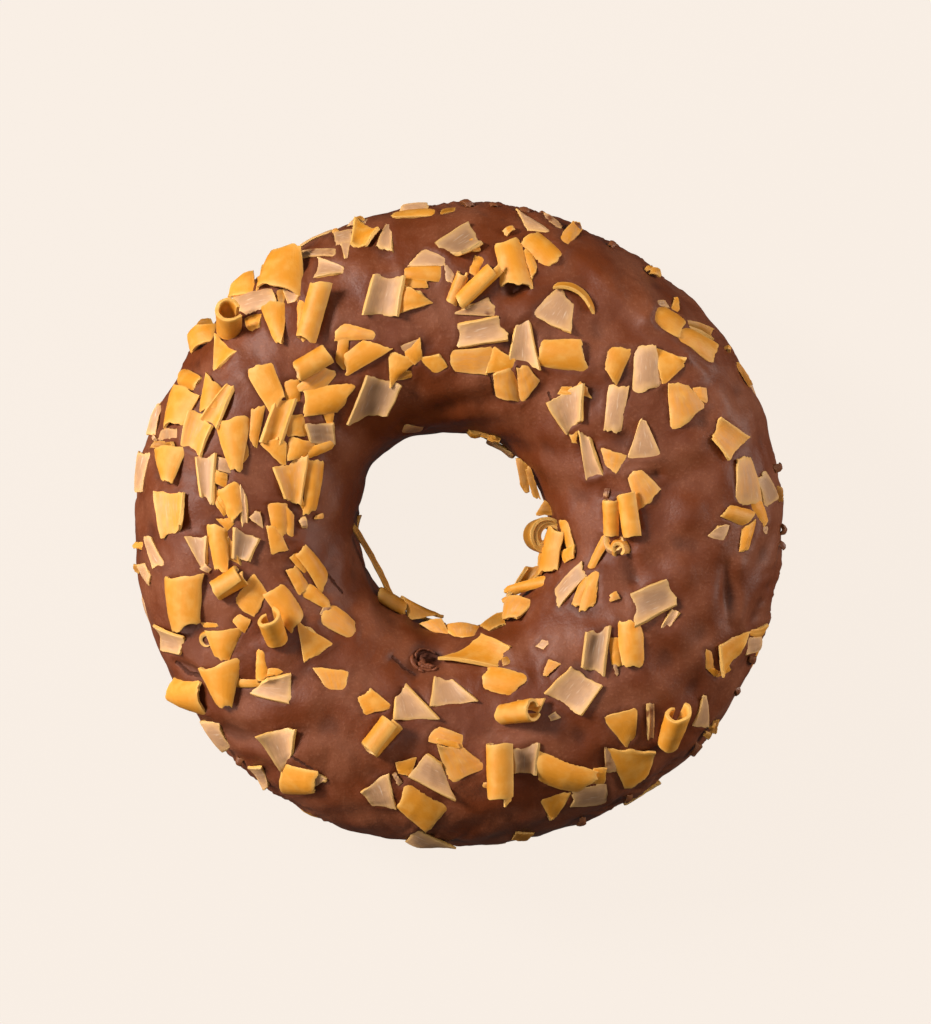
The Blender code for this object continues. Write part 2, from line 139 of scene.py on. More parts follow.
# Rolled curls: degrees that they are wound, where on the roll the outer edge ends and how far
# that varies, how much the radius falls, cone and twist along them, how deep they lie and how
# they wave, then the same for the more open ones, which are those pitched past a limit
ROLL_ARC = 400.0
ROLL_LAP = 130.0
ROLL_LAP_SPREAD = 45
ROLL_FALL = 0.34
ROLL_CONE = 0.07
ROLL_TWIST = 0.12
ROLL_SUNK = 0.6 * MM
ROLL_WAVE = 0.05 * MM
OPEN_FROM = 26.0
OPEN_ARC = 320.0
OPEN_LAP_SPREAD = 20

# Outline of a sheet: how far chance moves its corners, and less so across, coarse and fine teeth
# along its ends and teeth along its sides, how deep they are torn beside the coarse ones, how
# far apart the ends' patterns lie, how fast the teeth fade inwards, and where the bevel begins
CROOKED = 0.30
SIDE_CROOKED = 0.6
END_TEETH = (2.3, 6)
SIDE_TEETH = 1.7
FINE_TORN = 0.5
SIDE_TORN = 0.4
END_APART = 9
TORN_POWER = 6
EDGE_BEVEL = 0.95

# Bend of a sheet: how uneven it is, how far past the sheet it is worked out and in how many
# steps, the finest point of a narrowed one, the bow along it, and how high one corner curls up
# and how far that varies
SKEW = 0.5
PROFILE_REACH = 1.5
PROFILE_STEPS = 301
FINEST_POINT = 0.06
BOW = 0.35 * MM
LIFT = 0.8 * MM
LIFT_SHARE = 0.6
LIFT_SPREAD = 0.5
LIFT_FARTHEST = 1.2

# Curls on edge: how far they lean in, open out and taper at each end, how far their arc is set
# back, and how torn they are beside the others
INWARD = 0.55
OPEN_OUT = 0.25
TAPERS = (0.55, 0.25)
SET_BACK = 0.6
UPRIGHT_TORN = 0.4

# How curls are laid: their lean to the vertical, the tilt that chance adds, the deepest that any
# goes and how far a flat one may stand out, then bend, depth and reach of the lower ones
LEAN = 0.35
TILT = math.radians(7.0)
SUNK_LIMIT = 0.75 * MM
FLAT_REACH = 1.5 * MM
SHELL_ARC = 125.0
SIDE_SUNK = 0.55 * MM
SIDE_REACH = 0.7 * MM

# How flakes lie: their skew, bow, waves, and how far shells and flat ones are sunk
FLAKE_CROOKED = 0.06
FLAKE_SKEW = 0.6
FLAKE_BOW = 0.05
FLAKE_WAVE = 0.04 * MM
FLAKE_REACH = 0.15
LIFT_SIZE = 3.2 * MM
SHELL_SUNK = 0.5 * MM
FLAT_SUNK = 0.25 * MM

# How a curl's faces look: thickness at the rim and how uneven it is from curl to curl and along
# each, how narrow the worn rim is, the depths in millimetres over which chocolate films it and
# how much, how far brightness varies, how much of a tone's painted shade the rim keeps, the
# sharpest angle that is still shaded smooth, and how far apart the two faces' patterns lie
LOOKS = ("orange", "rim", "hollow", "film", "bright")
RIM_THICKNESS = 0.72
UNEVEN_CURL = 0.15
UNEVEN_ALONG = 0.2
WORN_POWER = 9
FILM_RANGE = (-0.15, 0.35)
FILM_MOST = 0.75
BRIGHT_SPREAD = 0.08
RIM_SHADE = 0.4
CREASE = math.radians(33.0)
PATTERN_GAP = 20.0

# Rolled curls in millimetres and degrees: x, y, turn, length, width, pitch and tone
ROLLS = (
    (-32.7, 27.6, 23, 5.2, 3.8, 64, "A"), (-20.6, 30.4, 75, 8.3, 3.1, 0, "O"),
    (-21.1, 23.2, 30, 6.2, 3.0, 0, "O"), (2.6, 34.2, 44, 6.9, 2.3, 0, "O"),
    (-0.4, 33.9, 68, 4.4, 1.5, 0, "P"), (-26.3, -15.8, 110, 4.6, 3.2, 38, "A"),
    (-11.1, -29.6, 50, 5.2, 3.3, 0, "O"), (7.4, -26.7, 6, 6.2, 3.1, 28, "A"),
    (5.7, -35.0, 90, 7.6, 3.8, 0, "O"), (22.0, 1.6, 88, 5.2, 2.2, 0, "O"),
    (24.3, 1.8, 98, 5.8, 2.5, 0, "O"), (29.2, -28.6, 90, 5.8, 3.4, 32, "A"),
    (-32.8, -8.1, 31, 4.6, 3.2, 0, "O"), (10.5, -1.1, 0, 4.0, 4.8, 25, "B"),
    (10.9, -1.1, 0, 3.9, 4.0, 25, "B"), (11.3, -1.2, 0, 3.8, 3.2, 25, "B"),
    (-9.0, -10.5, 160, 4.4, 2.0, 0, "B"),
)

# Flakes as seen from above, in millimetres: x and y of the corners of one torn end and then of
# the other, the bend across in degrees, cupped where it is negative, the tone, and at times how
# far it lies raised, None for one that bridges freely
FLAKES = (
    (-33.1, 32.7, -29.6, 33.4, -29.9, 36.2, -32.5, 35.2, 70, "O"),
    (-29.0, 33.7, -27.2, 35.0, -26.8, 36.8, -28.4, 37.5, -40, "B"),
    (-32.2, 32.6, -30.8, 30.3, -25.9, 31.4, -27.3, 34.0, 60, "T"),
    (-28.8, 31.2, -25.0, 31.6, -25.2, 26.2, -26.0, 26.2, 80, "O"),
    (-31.0, 29.8, -29.9, 27.8, -28.7, 28.4, -28.2, 30.4, 60, "O"),
    (-28.7, 33.7, -22.7, 32.8, -22.1, 38.5, -26.6, 37.9, 110, "O"),
    (-26.1, 33.6, -25.1, 33.6, -25.2, 31.4, -25.7, 31.4, 30, "B"),
    (-25.2, 33.8, -22.9, 33.0, -23.3, 32.2, -24.6, 31.9, -30, "T"),
    (-38.5, 24.7, -35.9, 26.6, -35.2, 28.6, -38.9, 28.0, 80, "O"),
    (-38.8, 28.2, -35.3, 28.5, -36.0, 29.6, -37.2, 29.6, 40, "B"),
    (-35.2, 22.4, -34.6, 22.6, -32.1, 24.6, -34.5, 26.7, -30, "O"),
    (-23.4, 32.4, -22.2, 32.4, -21.8, 26.6, -23.0, 26.8, 60, "O"),
    (-20.1, 38.2, -20.8, 35.4, -17.0, 36.2, -16.6, 36.9, -30, "T"),
    (-22.3, 39.2, -22.6, 38.4, -18.0, 38.6, -17.6, 39.5, 20, "F"),
    (-17.9, 41.9, -17.6, 40.1, -15.6, 40.5, -15.5, 42.3, 20, "T"),
    (-16.9, 40.6, -15.7, 40.4, -16.1, 38.2, -16.5, 38.3, 20, "T"),
    (-15.2, 39.7, -13.2, 40.1, -11.5, 41.8, -14.6, 42.9, -60, "O"),
    (-11.8, 40.0, -9.6, 39.3, -9.6, 43.5, -10.5, 43.0, -40, "T"),
    (-8.3, 44.6, -8.0, 45.9, -5.0, 46.2, -4.6, 44.6, 20, "T"),
    (-9.6, 43.6, -8.4, 44.8, -3.4, 44.8, -3.2, 44.1, 50, "O"),
    (-2.8, 44.2, -2.6, 44.8, -0.6, 45.3, -1.0, 44.8, 20, "B"),
    (-15.9, 43.2, -15.6, 43.8, -13.2, 44.0, -13.4, 43.3, 20, "T"),
    (-7.2, 37.1, -5.0, 39.4, -2.0, 37.9, -2.4, 37.2, 30, "T"),
    (-2.2, 37.6, -0.8, 36.2, -1.2, 34.8, -1.9, 35.2, 30, "T"),
    (-8.0, 36.6, -7.9, 35.4, -2.7, 35.0, -2.4, 37.6, 60, "O"),
    (-13.4, 30.6, -9.0, 30.0, -8.1, 35.3, -11.9, 35.7, -95, "T"),
    (-9.5, 30.2, -4.2, 31.9, -5.8, 33.2, -8.2, 34.4, 40, "O"),
    (-8.0, 34.0, -8.0, 35.4, -5.0, 35.0, -4.4, 34.1, 40, "O"),
    (-17.9, 26.6, -16.6, 28.9, -12.6, 27.7, -12.2, 26.9, 60, "P"),
    (-17.6, 23.6, -16.4, 22.0, -16.0, 26.6, -17.2, 26.8, 60, "O"),
    (-15.9, 21.8, -16.2, 24.4, -13.8, 26.3, -10.1, 25.3, 50, "O"),
    (-9.9, 20.2, -8.8, 21.9, -6.3, 23.5, -10.1, 24.9, 40, "O"),
    (-9.3, 20.7, -6.9, 21.4, -7.0, 22.1, -8.5, 22.1, 20, "B"),
    (-8.0, 24.6, -6.5, 23.2, -5.6, 24.0, -5.8, 26.6, 40, "O"),
    (-8.8, 25.6, -8.0, 24.8, -6.2, 25.6, -5.8, 26.7, 20, "F"),
    (-5.6, 23.9, -3.8, 21.8, -1.9, 22.8, -3.0, 24.4, 20, "O"),
    (-3.2, 39.9, 0.2, 38.0, 2.8, 39.8, 1.2, 42.7, -70, "G"),
    (0.7, 38.9, 2.8, 39.3, 2.3, 40.6, 1.2, 40.9, 40, "O"),
    (5.9, 34.7, 10.2, 34.5, 8.3, 40.6, 5.0, 40.0, 110, "O"),
    (8.9, 40.0, 11.2, 41.8, 14.6, 38.6, 12.3, 36.9, 90, "O"),
    (8.9, 38.4, 9.6, 39.7, 10.9, 37.2, 10.3, 35.4, 90, "O"),
    (14.1, 40.7, 15.3, 39.6, 17.4, 42.4, 16.2, 43.3, 60, "P"),
    (8.1, 44.6, 9.6, 42.2, 13.2, 41.6, 9.6, 43.8, 20, "T"),
    (12.0, 44.6, 11.9, 44.0, 13.9, 42.1, 14.3, 42.8, 20, "F"),
    (1.3, 36.2, 2.4, 35.8, 3.8, 38.2, 2.2, 38.5, 60, "O"),
    (10.1, 30.3, 15.6, 27.7, 16.0, 31.5, 14.2, 33.9, 12, "T"),
    (-0.3, 25.7, 0.3, 28.8, 5.3, 29.8, 6.5, 26.7, -50, "T"),
    (-0.9, 30.4, 1.2, 31.2, 3.9, 32.6, 5.4, 30.0, 20, "F"),
    (7.0, 23.6, 11.2, 23.0, 9.8, 29.6, 8.0, 28.2, -50, "T"),
    (-0.6, 22.4, -1.4, 24.9, 4.8, 25.5, 3.8, 21.9, 25, "P"),
    (3.9, 22.0, 4.9, 25.5, 7.7, 23.8, 7.7, 22.7, 30, "O"),
    (11.0, 23.2, 12.2, 26.3, 17.0, 26.4, 18.3, 22.2, 75, "O"),
    (20.8, 22.8, 22.3, 20.3, 24.4, 25.0, 21.4, 25.3, 50, "O"),
    (26.3, 28.9, 28.0, 31.3, 31.6, 29.4, 30.8, 26.7, 60, "O"),
    (30.0, 30.9, 31.2, 30.0, 30.9, 32.4, 30.6, 32.3, 20, "O"),
    (27.6, 31.2, 29.6, 31.0, 29.0, 31.9, 28.2, 31.9, 20, "T"),
    (30.0, 26.6, 32.0, 28.0, 36.0, 25.4, 35.4, 23.3, 60, "O"),
    (31.7, 29.3, 32.4, 28.1, 36.0, 26.4, 35.6, 28.0, -60, "B"),
    (25.0, 19.6, 28.8, 20.0, 27.8, 25.3, 25.2, 25.2, 70, "T"),
    (28.9, 20.2, 27.9, 25.3, 31.7, 23.7, 31.8, 23.0, 40, "O"),
    (39.4, 22.9, 39.9, 23.2, 41.9, 20.4, 41.3, 20.1, 20, "D"),
    (-40.4, 20.4, -39.6, 22.4, -36.9, 21.1, -38.3, 19.6, 70, "O"),
    (-41.8, 14.2, -39.2, 14.6, -37.6, 18.4, -40.8, 20.2, 80, "O"),
    (-42.9, 12.2, -40.0, 12.4, -40.2, 13.8, -42.3, 13.6, 20, "F"),
    (-43.4, 10.8, -39.2, 10.8, -40.5, 6.1, -41.6, 6.6, 90, "O"),
    (-43.1, 11.0, -40.2, 11.0, -40.6, 11.9, -42.8, 11.9, -60, "B"),
    (-37.1, 16.4, -34.3, 17.0, -34.2, 19.6, -35.9, 21.4, 80, "O"),
    (-36.6, 15.6, -34.3, 14.4, -32.2, 19.9, -33.4, 20.0, -70, "P"),
    (-39.5, 11.2, -36.9, 9.9, -35.2, 14.2, -38.2, 16.2, -60, "P"),
    (-34.9, 14.6, -30.3, 15.2, -31.3, 8.4, -32.6, 8.4, 90, "O"),
    (-30.6, 12.5, -30.4, 10.0, -31.8, 8.4, -32.0, 10.2, 60, "B"),
    (-29.9, 12.6, -29.1, 11.6, -28.1, 16.7, -29.6, 16.4, 50, "O"),
    (-30.5, 21.9, -26.9, 23.1, -25.2, 18.6, -27.4, 16.9, 40, "O"),
    (-24.5, 17.6, -23.0, 18.0, -23.1, 20.8, -25.1, 20.6, 60, "O"),
    (-28.2, 12.4, -25.6, 12.0, -23.7, 17.8, -26.5, 17.4, -90, "A"),
    (-28.3, 11.6, -25.0, 8.6, -25.0, 11.9, -26.0, 12.5, 30, "O"),
    (-26.5, 8.0, -22.2, 9.6, -23.0, 3.6, -24.9, 4.0, -70, "P"),
    (-24.8, 12.9, -22.0, 13.2, -22.3, 15.9, -24.8, 15.7, 60, "O"),
    (-24.6, 9.6, -22.4, 9.9, -20.9, 11.7, -24.3, 12.7, 70, "O"),
    (-22.1, 9.7, -21.2, 11.2, -18.1, 12.2, -18.4, 11.2, 50, "O"),
    (-36.8, 4.4, -35.2, 3.2, -34.8, 10.2, -37.5, 9.7, -80, "T"),
    (-35.4, 8.2, -33.0, 7.6, -32.9, 9.5, -34.8, 9.8, 70, "T"),
    (-35.9, 6.6, -33.6, 5.6, -33.4, 7.3, -35.0, 8.0, 90, "O"),
    (-34.6, 4.8, -31.7, 6.2, -31.2, 2.4, -32.6, 0.9, 90, "O"),
    (-36.0, 4.6, -35.4, 3.4, -34.4, 4.0, -35.0, 6.0, 60, "O"),
    (-35.1, 3.6, -33.8, 1.6, -33.2, 2.2, -34.2, 4.2, 50, "O"),
    (-31.2, 0.2, -30.3, 0.8, -30.6, 4.4, -31.5, 5.9, -50, "T"),
    (-42.0, -1.5, -38.9, 0.4, -38.9, 4.2, -42.8, 4.8, -50, "P"),
    (-44.6, 13.3, -43.4, 13.2, -42.5, 17.0, -43.3, 17.0, 40, "T"),
    (-46.1, 5.6, -45.1, 4.8, -44.1, 9.8, -45.3, 10.5, 40, "T"),
    (-26.6, -0.2, -25.2, -1.4, -24.8, 3.3, -27.4, 3.3, 70, "O"),
    (-24.7, -1.2, -24.0, -1.4, -23.9, 1.6, -25.0, 2.8, 50, "O"),
    (-26.8, -3.9, -24.7, -3.5, -26.2, -0.3, -27.5, -0.2, 50, "O"),
    (-23.4, 19.7, -19.9, 19.3, -17.7, 22.0, -20.0, 22.5, 40, "P"),
    (-22.0, 16.0, -22.2, 19.4, -14.9, 20.3, -17.6, 16.6, 45, "O"),
    (-19.6, 16.4, -18.0, 16.6, -18.3, 14.6, -18.9, 14.6, 30, "O"),
    (-15.9, 15.2, -10.8, 16.4, -8.9, 20.2, -13.4, 21.4, -70, "G"),
    (-21.3, 12.0, -18.0, 11.9, -18.4, 14.6, -22.0, 14.6, -40, "G"),
    (-22.2, 2.4, -20.8, 2.4, -19.6, 8.9, -22.0, 9.4, 110, "O"),
    (-23.3, 3.9, -22.3, 2.2, -22.2, 2.8, -22.8, 4.6, 20, "O"),
    (-8.4, 13.3, -5.8, 13.4, -5.0, 14.2, -7.6, 14.3, 20, "F"),
    (5.4, 18.8, 8.4, 18.2, 7.7, 22.7, 5.0, 22.0, 80, "P"),
    (8.8, 17.8, 11.2, 20.7, 9.6, 22.8, 8.3, 22.6, 50, "P"),
    (15.2, 13.8, 17.4, 15.4, 17.6, 20.2, 13.0, 17.6, -60, "T"),
    (14.1, 18.9, 15.9, 18.8, 15.9, 19.8, 14.6, 19.9, 20, "O"),
    (16.2, 19.2, 18.7, 18.4, 17.9, 19.6, 17.3, 20.6, 20, "P"),
    (8.7, 5.0, 9.5, 4.9, 9.4, 8.6, 7.8, 9.5, 40, "B"),
    (20.7, 13.9, 22.9, 13.9, 24.0, 19.7, 21.5, 19.9, 50, "T"),
    (24.1, 9.9, 28.7, 9.9, 26.4, 15.0, 25.9, 15.2, 10, "T"),
    (30.3, 14.0, 35.0, 17.0, 32.2, 19.7, 29.8, 20.1, 70, "P"),
    (32.5, 18.9, 35.1, 17.6, 34.9, 19.7, 33.4, 19.6, 40, "P"),
    (38.1, 9.4, 40.6, 12.7, 37.0, 15.0, 36.0, 12.4, -40, "P"),
    (18.2, 6.7, 20.6, 7.3, 18.7, 12.3, 17.3, 13.2, -50, "T"),
    (21.1, 8.8, 22.4, 7.8, 23.8, 10.1, 20.2, 11.0, 30, "P"),
    (25.6, 2.2, 28.6, 5.3, 26.0, 7.7, 24.1, 7.2, 60, "P"),
    (20.7, 5.2, 20.5, 4.0, 21.1, 4.0, 21.3, 5.2, 60, "F"),
    (39.5, 9.1, 41.2, 9.5, 42.9, 3.6, 39.4, 3.6, 40, "M"),
    (42.2, 6.7, 43.3, 7.5, 45.4, 4.3, 43.7, 2.8, 40, "H"),
    (45.3, 5.7, 46.1, 5.4, 46.3, 3.6, 45.7, 3.6, 20, "B"),
    (-38.9, -1.5, -36.0, -1.5, -36.2, -5.6, -36.9, -5.9, -50, "T"),
    (-34.8, -6.0, -33.2, -5.9, -33.4, -0.9, -36.0, 0.2, 100, "O"),
    (-34.6, 0.9, -33.2, -0.6, -32.4, 0.4, -33.0, 0.9, 40, "O"),
    (-32.4, -4.6, -30.2, -4.8, -28.9, -2.0, -32.2, -0.5, -80, "G"),
    (-33.3, -4.6, -31.4, -5.3, -32.4, -2.4, -33.2, -1.6, -60, "B"),
    (-40.6, -14.1, -37.1, -13.4, -36.8, -7.0, -41.9, -7.0, 100, "O"),
    (-29.4, -12.8, -27.8, -9.6, -29.4, -7.0, -32.3, -11.0, 30, "O"),
    (-27.8, -10.2, -25.4, -8.5, -22.8, -12.0, -24.1, -15.1, 100, "O"),
    (-32.4, -13.6, -30.9, -15.2, -30.0, -13.4, -31.4, -12.7, 60, "O"),
    (-36.0, -15.2, -31.3, -14.7, -33.0, -18.9, -34.6, -18.4, 80, "O"),
    (-36.8, -13.8, -36.5, -14.4, -34.6, -14.3, -34.8, -13.9, 20, "O"),
    (-42.8, -14.2, -42.0, -17.3, -39.7, -17.9, -39.3, -15.6, -50, "T"),
    (-43.4, -5.8, -42.0, -5.3, -43.9, -1.8, -44.8, -1.7, 20, "T"),
    (-46.3, -3.0, -45.1, -3.2, -44.9, -2.4, -46.0, -2.4, 20, "O"),
    (-45.6, -5.6, -44.1, -8.3, -43.9, -7.0, -44.6, -5.4, 20, "T"),
    (-30.0, 1.2, -28.2, -0.2, -28.6, 1.9, -29.2, 1.9, 30, "T"),
    (-23.3, -4.2, -22.3, -3.1, -19.2, -6.6, -19.8, -9.2, 90, "O"),
    (-24.1, -4.6, -23.2, -3.5, -21.8, -6.0, -22.0, -6.9, 60, "O"),
    (-24.6, -6.4, -23.4, -6.0, -21.7, -8.6, -22.9, -9.8, 80, "O"),
    (-22.4, -9.9, -21.1, -8.5, -18.9, -10.6, -19.0, -11.9, 70, "O"),
    (-20.1, -13.6, -18.1, -11.3, -15.2, -13.8, -15.4, -16.1, 60, "P"),
    (-20.0, -12.6, -19.4, -11.4, -18.6, -11.8, -19.4, -12.8, 20, "F"),
    (-22.2, -19.3, -18.2, -16.8, -21.6, -14.9, -23.1, -13.7, 20, "O"),
    (-15.4, 0.0, -14.9, 0.4, -9.7, -9.1, -10.3, -9.4, 20, "B", None),
    (10.6, 4.6, 11.5, 4.3, 10.2, 8.4, 9.6, 7.9, 30, "B"),
    (10.7, 1.6, 12.8, 1.6, 12.6, 2.9, 11.8, 3.4, 20, "B"),
    (11.8, -6.8, 14.3, -6.2, 15.0, -1.2, 13.4, -0.6, 90, "O"),
    (15.2, -2.8, 16.2, -2.9, 15.3, 1.0, 14.3, 0.6, 60, "O"),
    (14.6, -3.8, 15.0, -5.1, 16.2, -4.5, 16.4, -2.8, 40, "O"),
    (6.2, -9.2, 9.5, -7.4, 11.6, -5.0, 8.6, -5.4, -90, "B"),
    (6.3, -9.2, 7.8, -9.8, 12.2, -8.6, 12.5, -7.4, 100, "O"),
    (6.6, -13.5, 8.6, -13.6, 10.6, -11.1, 6.9, -10.4, 60, "P"),
    (5.7, -10.3, 6.9, -11.3, 9.0, -10.6, 7.6, -10.3, 30, "O"),
    (13.7, -9.2, 14.5, -11.3, 18.0, -7.3, 17.2, -5.7, 30, "T"),
    (18.3, -6.1, 18.9, -6.3, 21.6, -1.8, 20.6, -0.9, 60, "O"),
    (17.2, -11.8, 18.9, -11.4, 20.0, -6.2, 18.6, -6.8, 40, "O"),
    (16.2, -11.0, 17.4, -11.3, 19.0, -7.2, 17.6, -7.8, 50, "O"),
    (18.6, -11.3, 19.3, -10.9, 19.8, -8.0, 19.1, -8.2, 30, "O"),
    (40.0, -3.5, 41.1, -3.2, 42.3, 1.2, 40.6, -0.6, 80, "O"),
    (37.6, 1.4, 38.6, 2.8, 42.0, 2.0, 40.5, 0.3, 80, "O"),
    (41.2, 3.6, 42.9, 3.6, 43.9, 0.6, 43.3, 0.1, 60, "O"),
    (43.2, 0.0, 43.9, -0.1, 43.8, -1.1, 43.3, -0.9, 20, "T"),
    (35.5, -1.4, 37.5, -2.3, 38.5, 0.2, 36.9, -0.1, 10, "T"),
    (25.6, -14.0, 24.8, -9.8, 29.2, -7.9, 30.7, -11.2, -40, "G"),
    (28.5, -14.8, 30.2, -14.2, 31.3, -12.4, 30.2, -12.0, -40, "T"),
    (23.3, -19.6, 26.0, -19.8, 25.9, -14.2, 22.6, -13.7, 110, "O"),
    (21.9, -19.8, 22.9, -19.5, 22.7, -16.0, 21.3, -16.0, 80, "O"),
    (36.9, -17.1, 40.9, -15.1, 39.6, -18.2, 37.1, -20.9, -40, "O"),
    (35.1, -17.7, 35.8, -18.0, 36.2, -20.2, 35.2, -20.3, 30, "P"),
    (35.2, -20.2, 36.2, -20.2, 37.0, -20.9, 36.6, -21.6, 40, "O"),
    (36.6, -21.6, 37.2, -20.9, 38.2, -20.0, 38.6, -20.6, 40, "O"),
    (40.6, -18.3, 42.8, -17.6, 43.0, -15.9, 40.9, -15.9, 30, "T"),
    (41.0, -15.6, 42.8, -16.0, 43.9, -14.2, 41.6, -15.0, 20, "O"),
    (-41.2, -24.0, -40.2, -21.5, -36.5, -21.9, -36.2, -26.4, 100, "O"),
    (-36.6, -20.4, -31.3, -19.0, -32.3, -25.1, -34.0, -24.9, 90, "O"),
    (-29.0, -22.0, -27.4, -21.4, -28.1, -18.0, -28.9, -17.4, 80, "O"),
    (-32.6, -22.0, -31.9, -22.9, -28.6, -22.8, -29.2, -22.0, 60, "O"),
    (-27.4, -21.4, -26.2, -21.2, -25.2, -20.7, -27.2, -20.2, 30, "O"),
    (-29.9, -23.7, -27.2, -21.9, -24.3, -21.3, -24.4, -25.2, -40, "T"),
    (-25.4, -34.6, -23.9, -32.4, -23.4, -29.0, -28.1, -29.4, -40, "T"),
    (-25.2, -38.3, -25.0, -33.7, -20.4, -35.0, -20.9, -37.5, 60, "O"),
    (-20.9, -37.2, -20.5, -35.1, -19.0, -36.0, -19.2, -36.2, 20, "T"),
    (-36.6, -27.8, -34.0, -32.0, -32.7, -31.2, -34.4, -28.2, 30, "T"),
    (-29.8, -34.2, -27.8, -37.2, -27.1, -36.6, -28.2, -34.2, -30, "T"),
    (-20.6, -20.5, -16.1, -20.8, -16.6, -23.4, -18.9, -23.3, 10, "P"),
    (-14.4, -24.6, -12.6, -23.5, -9.9, -25.8, -13.6, -26.9, 20, "O"),
    (-9.1, -24.6, -7.9, -22.8, -3.7, -27.2, -9.3, -27.5, -60, "T"),
    (-3.4, -22.0, -1.0, -22.2, 2.0, -25.1, -4.1, -25.7, -50, "T"),
    (-4.9, -30.6, -3.0, -28.8, 0.4, -30.0, 0.2, -31.8, 20, "P"),
    (-3.2, -30.3, -3.0, -30.9, -0.2, -31.7, -0.5, -31.0, 40, "O", 0.5),
    (-3.0, -31.0, 0.4, -32.0, 3.7, -34.3, -1.4, -36.4, 30, "P"),
    (-9.1, -33.8, -6.3, -33.1, -7.2, -35.7, -8.6, -35.2, 30, "O"),
    (-6.8, -35.8, -4.6, -32.7, -2.7, -34.0, -1.2, -38.5, -45, "T"),
    (-8.6, -40.2, -7.3, -36.9, -2.1, -40.4, -4.9, -43.2, 70, "O"),
    (-13.9, -37.7, -10.2, -35.5, -9.4, -40.0, -12.5, -39.6, -20, "T"),
    (-9.6, -35.5, -9.2, -35.3, -8.3, -36.6, -8.8, -36.9, 20, "F"),
    (7.8, -32.0, 11.2, -30.9, 10.6, -35.0, 7.9, -34.9, -80, "G"),
    (7.7, -32.1, 8.6, -32.0, 8.5, -34.9, 7.9, -34.8, 40, "O"),
    (-7.4, -45.4, -6.3, -43.7, -1.0, -45.8, -5.0, -46.0, 20, "H"),
    (7.6, -45.2, 8.2, -44.2, 10.4, -44.3, 9.6, -45.2, 20, "B"),
    (-2.4, -19.2, 3.2, -15.9, 6.8, -17.6, 5.0, -20.0, -50, "A"),
    (6.1, -18.9, 6.8, -18.6, 7.2, -19.6, 6.2, -19.9, 40, "B"),
    (3.2, -23.0, 4.2, -20.1, 9.9, -21.5, 7.2, -24.0, 60, "O"),
    (8.4, -25.1, 12.1, -24.9, 11.2, -26.6, 9.0, -26.1, -30, "O", 0.9),
    (16.1, -20.3, 19.9, -23.1, 17.3, -26.7, 12.4, -23.9, -50, "T"),
    (11.0, -17.2, 11.9, -16.3, 12.9, -16.5, 12.0, -17.5, 20, "T"),
    (12.7, -19.2, 14.3, -19.8, 12.4, -21.3, 12.0, -21.2, 20, "P"),
    (18.3, -15.7, 21.4, -14.3, 20.6, -20.7, 17.7, -20.1, -100, "G"),
    (22.0, -19.9, 22.4, -19.9, 22.6, -21.2, 22.3, -21.3, 20, "F"),
    (20.3, -27.4, 25.3, -26.1, 24.8, -29.8, 23.6, -31.2, 20, "O"),
    (21.0, -31.7, 27.4, -32.1, 26.4, -35.2, 23.5, -36.8, 40, "O"),
    (20.6, -31.6, 21.4, -32.0, 22.4, -34.9, 20.9, -34.9, 20, "F"),
    (11.9, -36.3, 11.4, -32.3, 19.3, -35.0, 16.6, -37.6, 85, "O"),
    (18.3, -36.3, 19.2, -34.8, 20.9, -34.6, 20.3, -36.9, 50, "O"),
    (16.0, -39.8, 16.6, -37.6, 20.9, -36.6, 21.0, -39.4, 30, "H"),
    (11.4, -39.2, 15.6, -38.3, 13.6, -41.6, 13.0, -41.8, -20, "O"),
    (26.8, -25.7, 27.7, -25.6, 27.6, -30.6, 26.7, -31.0, -60, "F"),
    (34.6, -24.4, 34.9, -24.3, 35.2, -28.3, 33.2, -28.5, 30, "T"),
    (35.8, -29.4, 36.2, -28.0, 37.0, -27.8, 36.6, -29.6, 30, "B"),
    (-7.8, -10.0, -2.7, -10.6, -2.2, -12.3, -6.9, -13.2, 30, "B"),
    (-5.6, -13.6, -2.6, -13.1, -1.6, -15.2, -3.4, -14.8, 30, "P"),
    (-2.3, -13.8, 2.7, -14.0, 1.9, -15.6, -0.6, -15.7, 40, "P"),
    (3.0, -14.0, 6.0, -12.3, 6.2, -13.8, 4.2, -14.8, 40, "B"),
    (1.3, 12.9, 2.6, 13.2, 4.0, 12.8, 3.8, 12.2, 30, "D"),
    (3.8, 12.7, 5.6, 12.3, 5.4, 11.6, 4.0, 12.0, 30, "D"),
)

# Bends at which a flake counts as cupped and as a shell, how far its corners are moved out from
# its middle, and how high its bend rises
CUP_FROM = -30
SHELL_FROM = 60
FLAKE_GROWTH = 1.12
FLAKE_RISE = 1.2

# Curls standing on edge: x, y, turn, length, height, arc and tone
EDGES = (
    (22.3, -2.8, 40, 5.0, 1.3, 300, "P"), (22.5, -3.0, 200, 7.0, 1.1, 300, "O"),
    (-36.6, -16.3, 90, 5.0, 0.8, 300, "T"), (15.3, 32.5, -45, 8.0, 1.5, 100, "A"),
)

# Curls on the lower outer side and in the hole, spaced round by a rule: how many, the angle of
# the section that they keep to, its spread, their length, width and how pointed one end is
SIDE_BANDS = (
    (13, -15.0, 4.0, 5.0, 3.0, 0.0), (9, -23.5, 3.0, 4.6, 2.6, 0.5), (4, 188.0, 8.0, 4.8, 2.6, 0.0),
)
SIDE_TONES = "OTF"

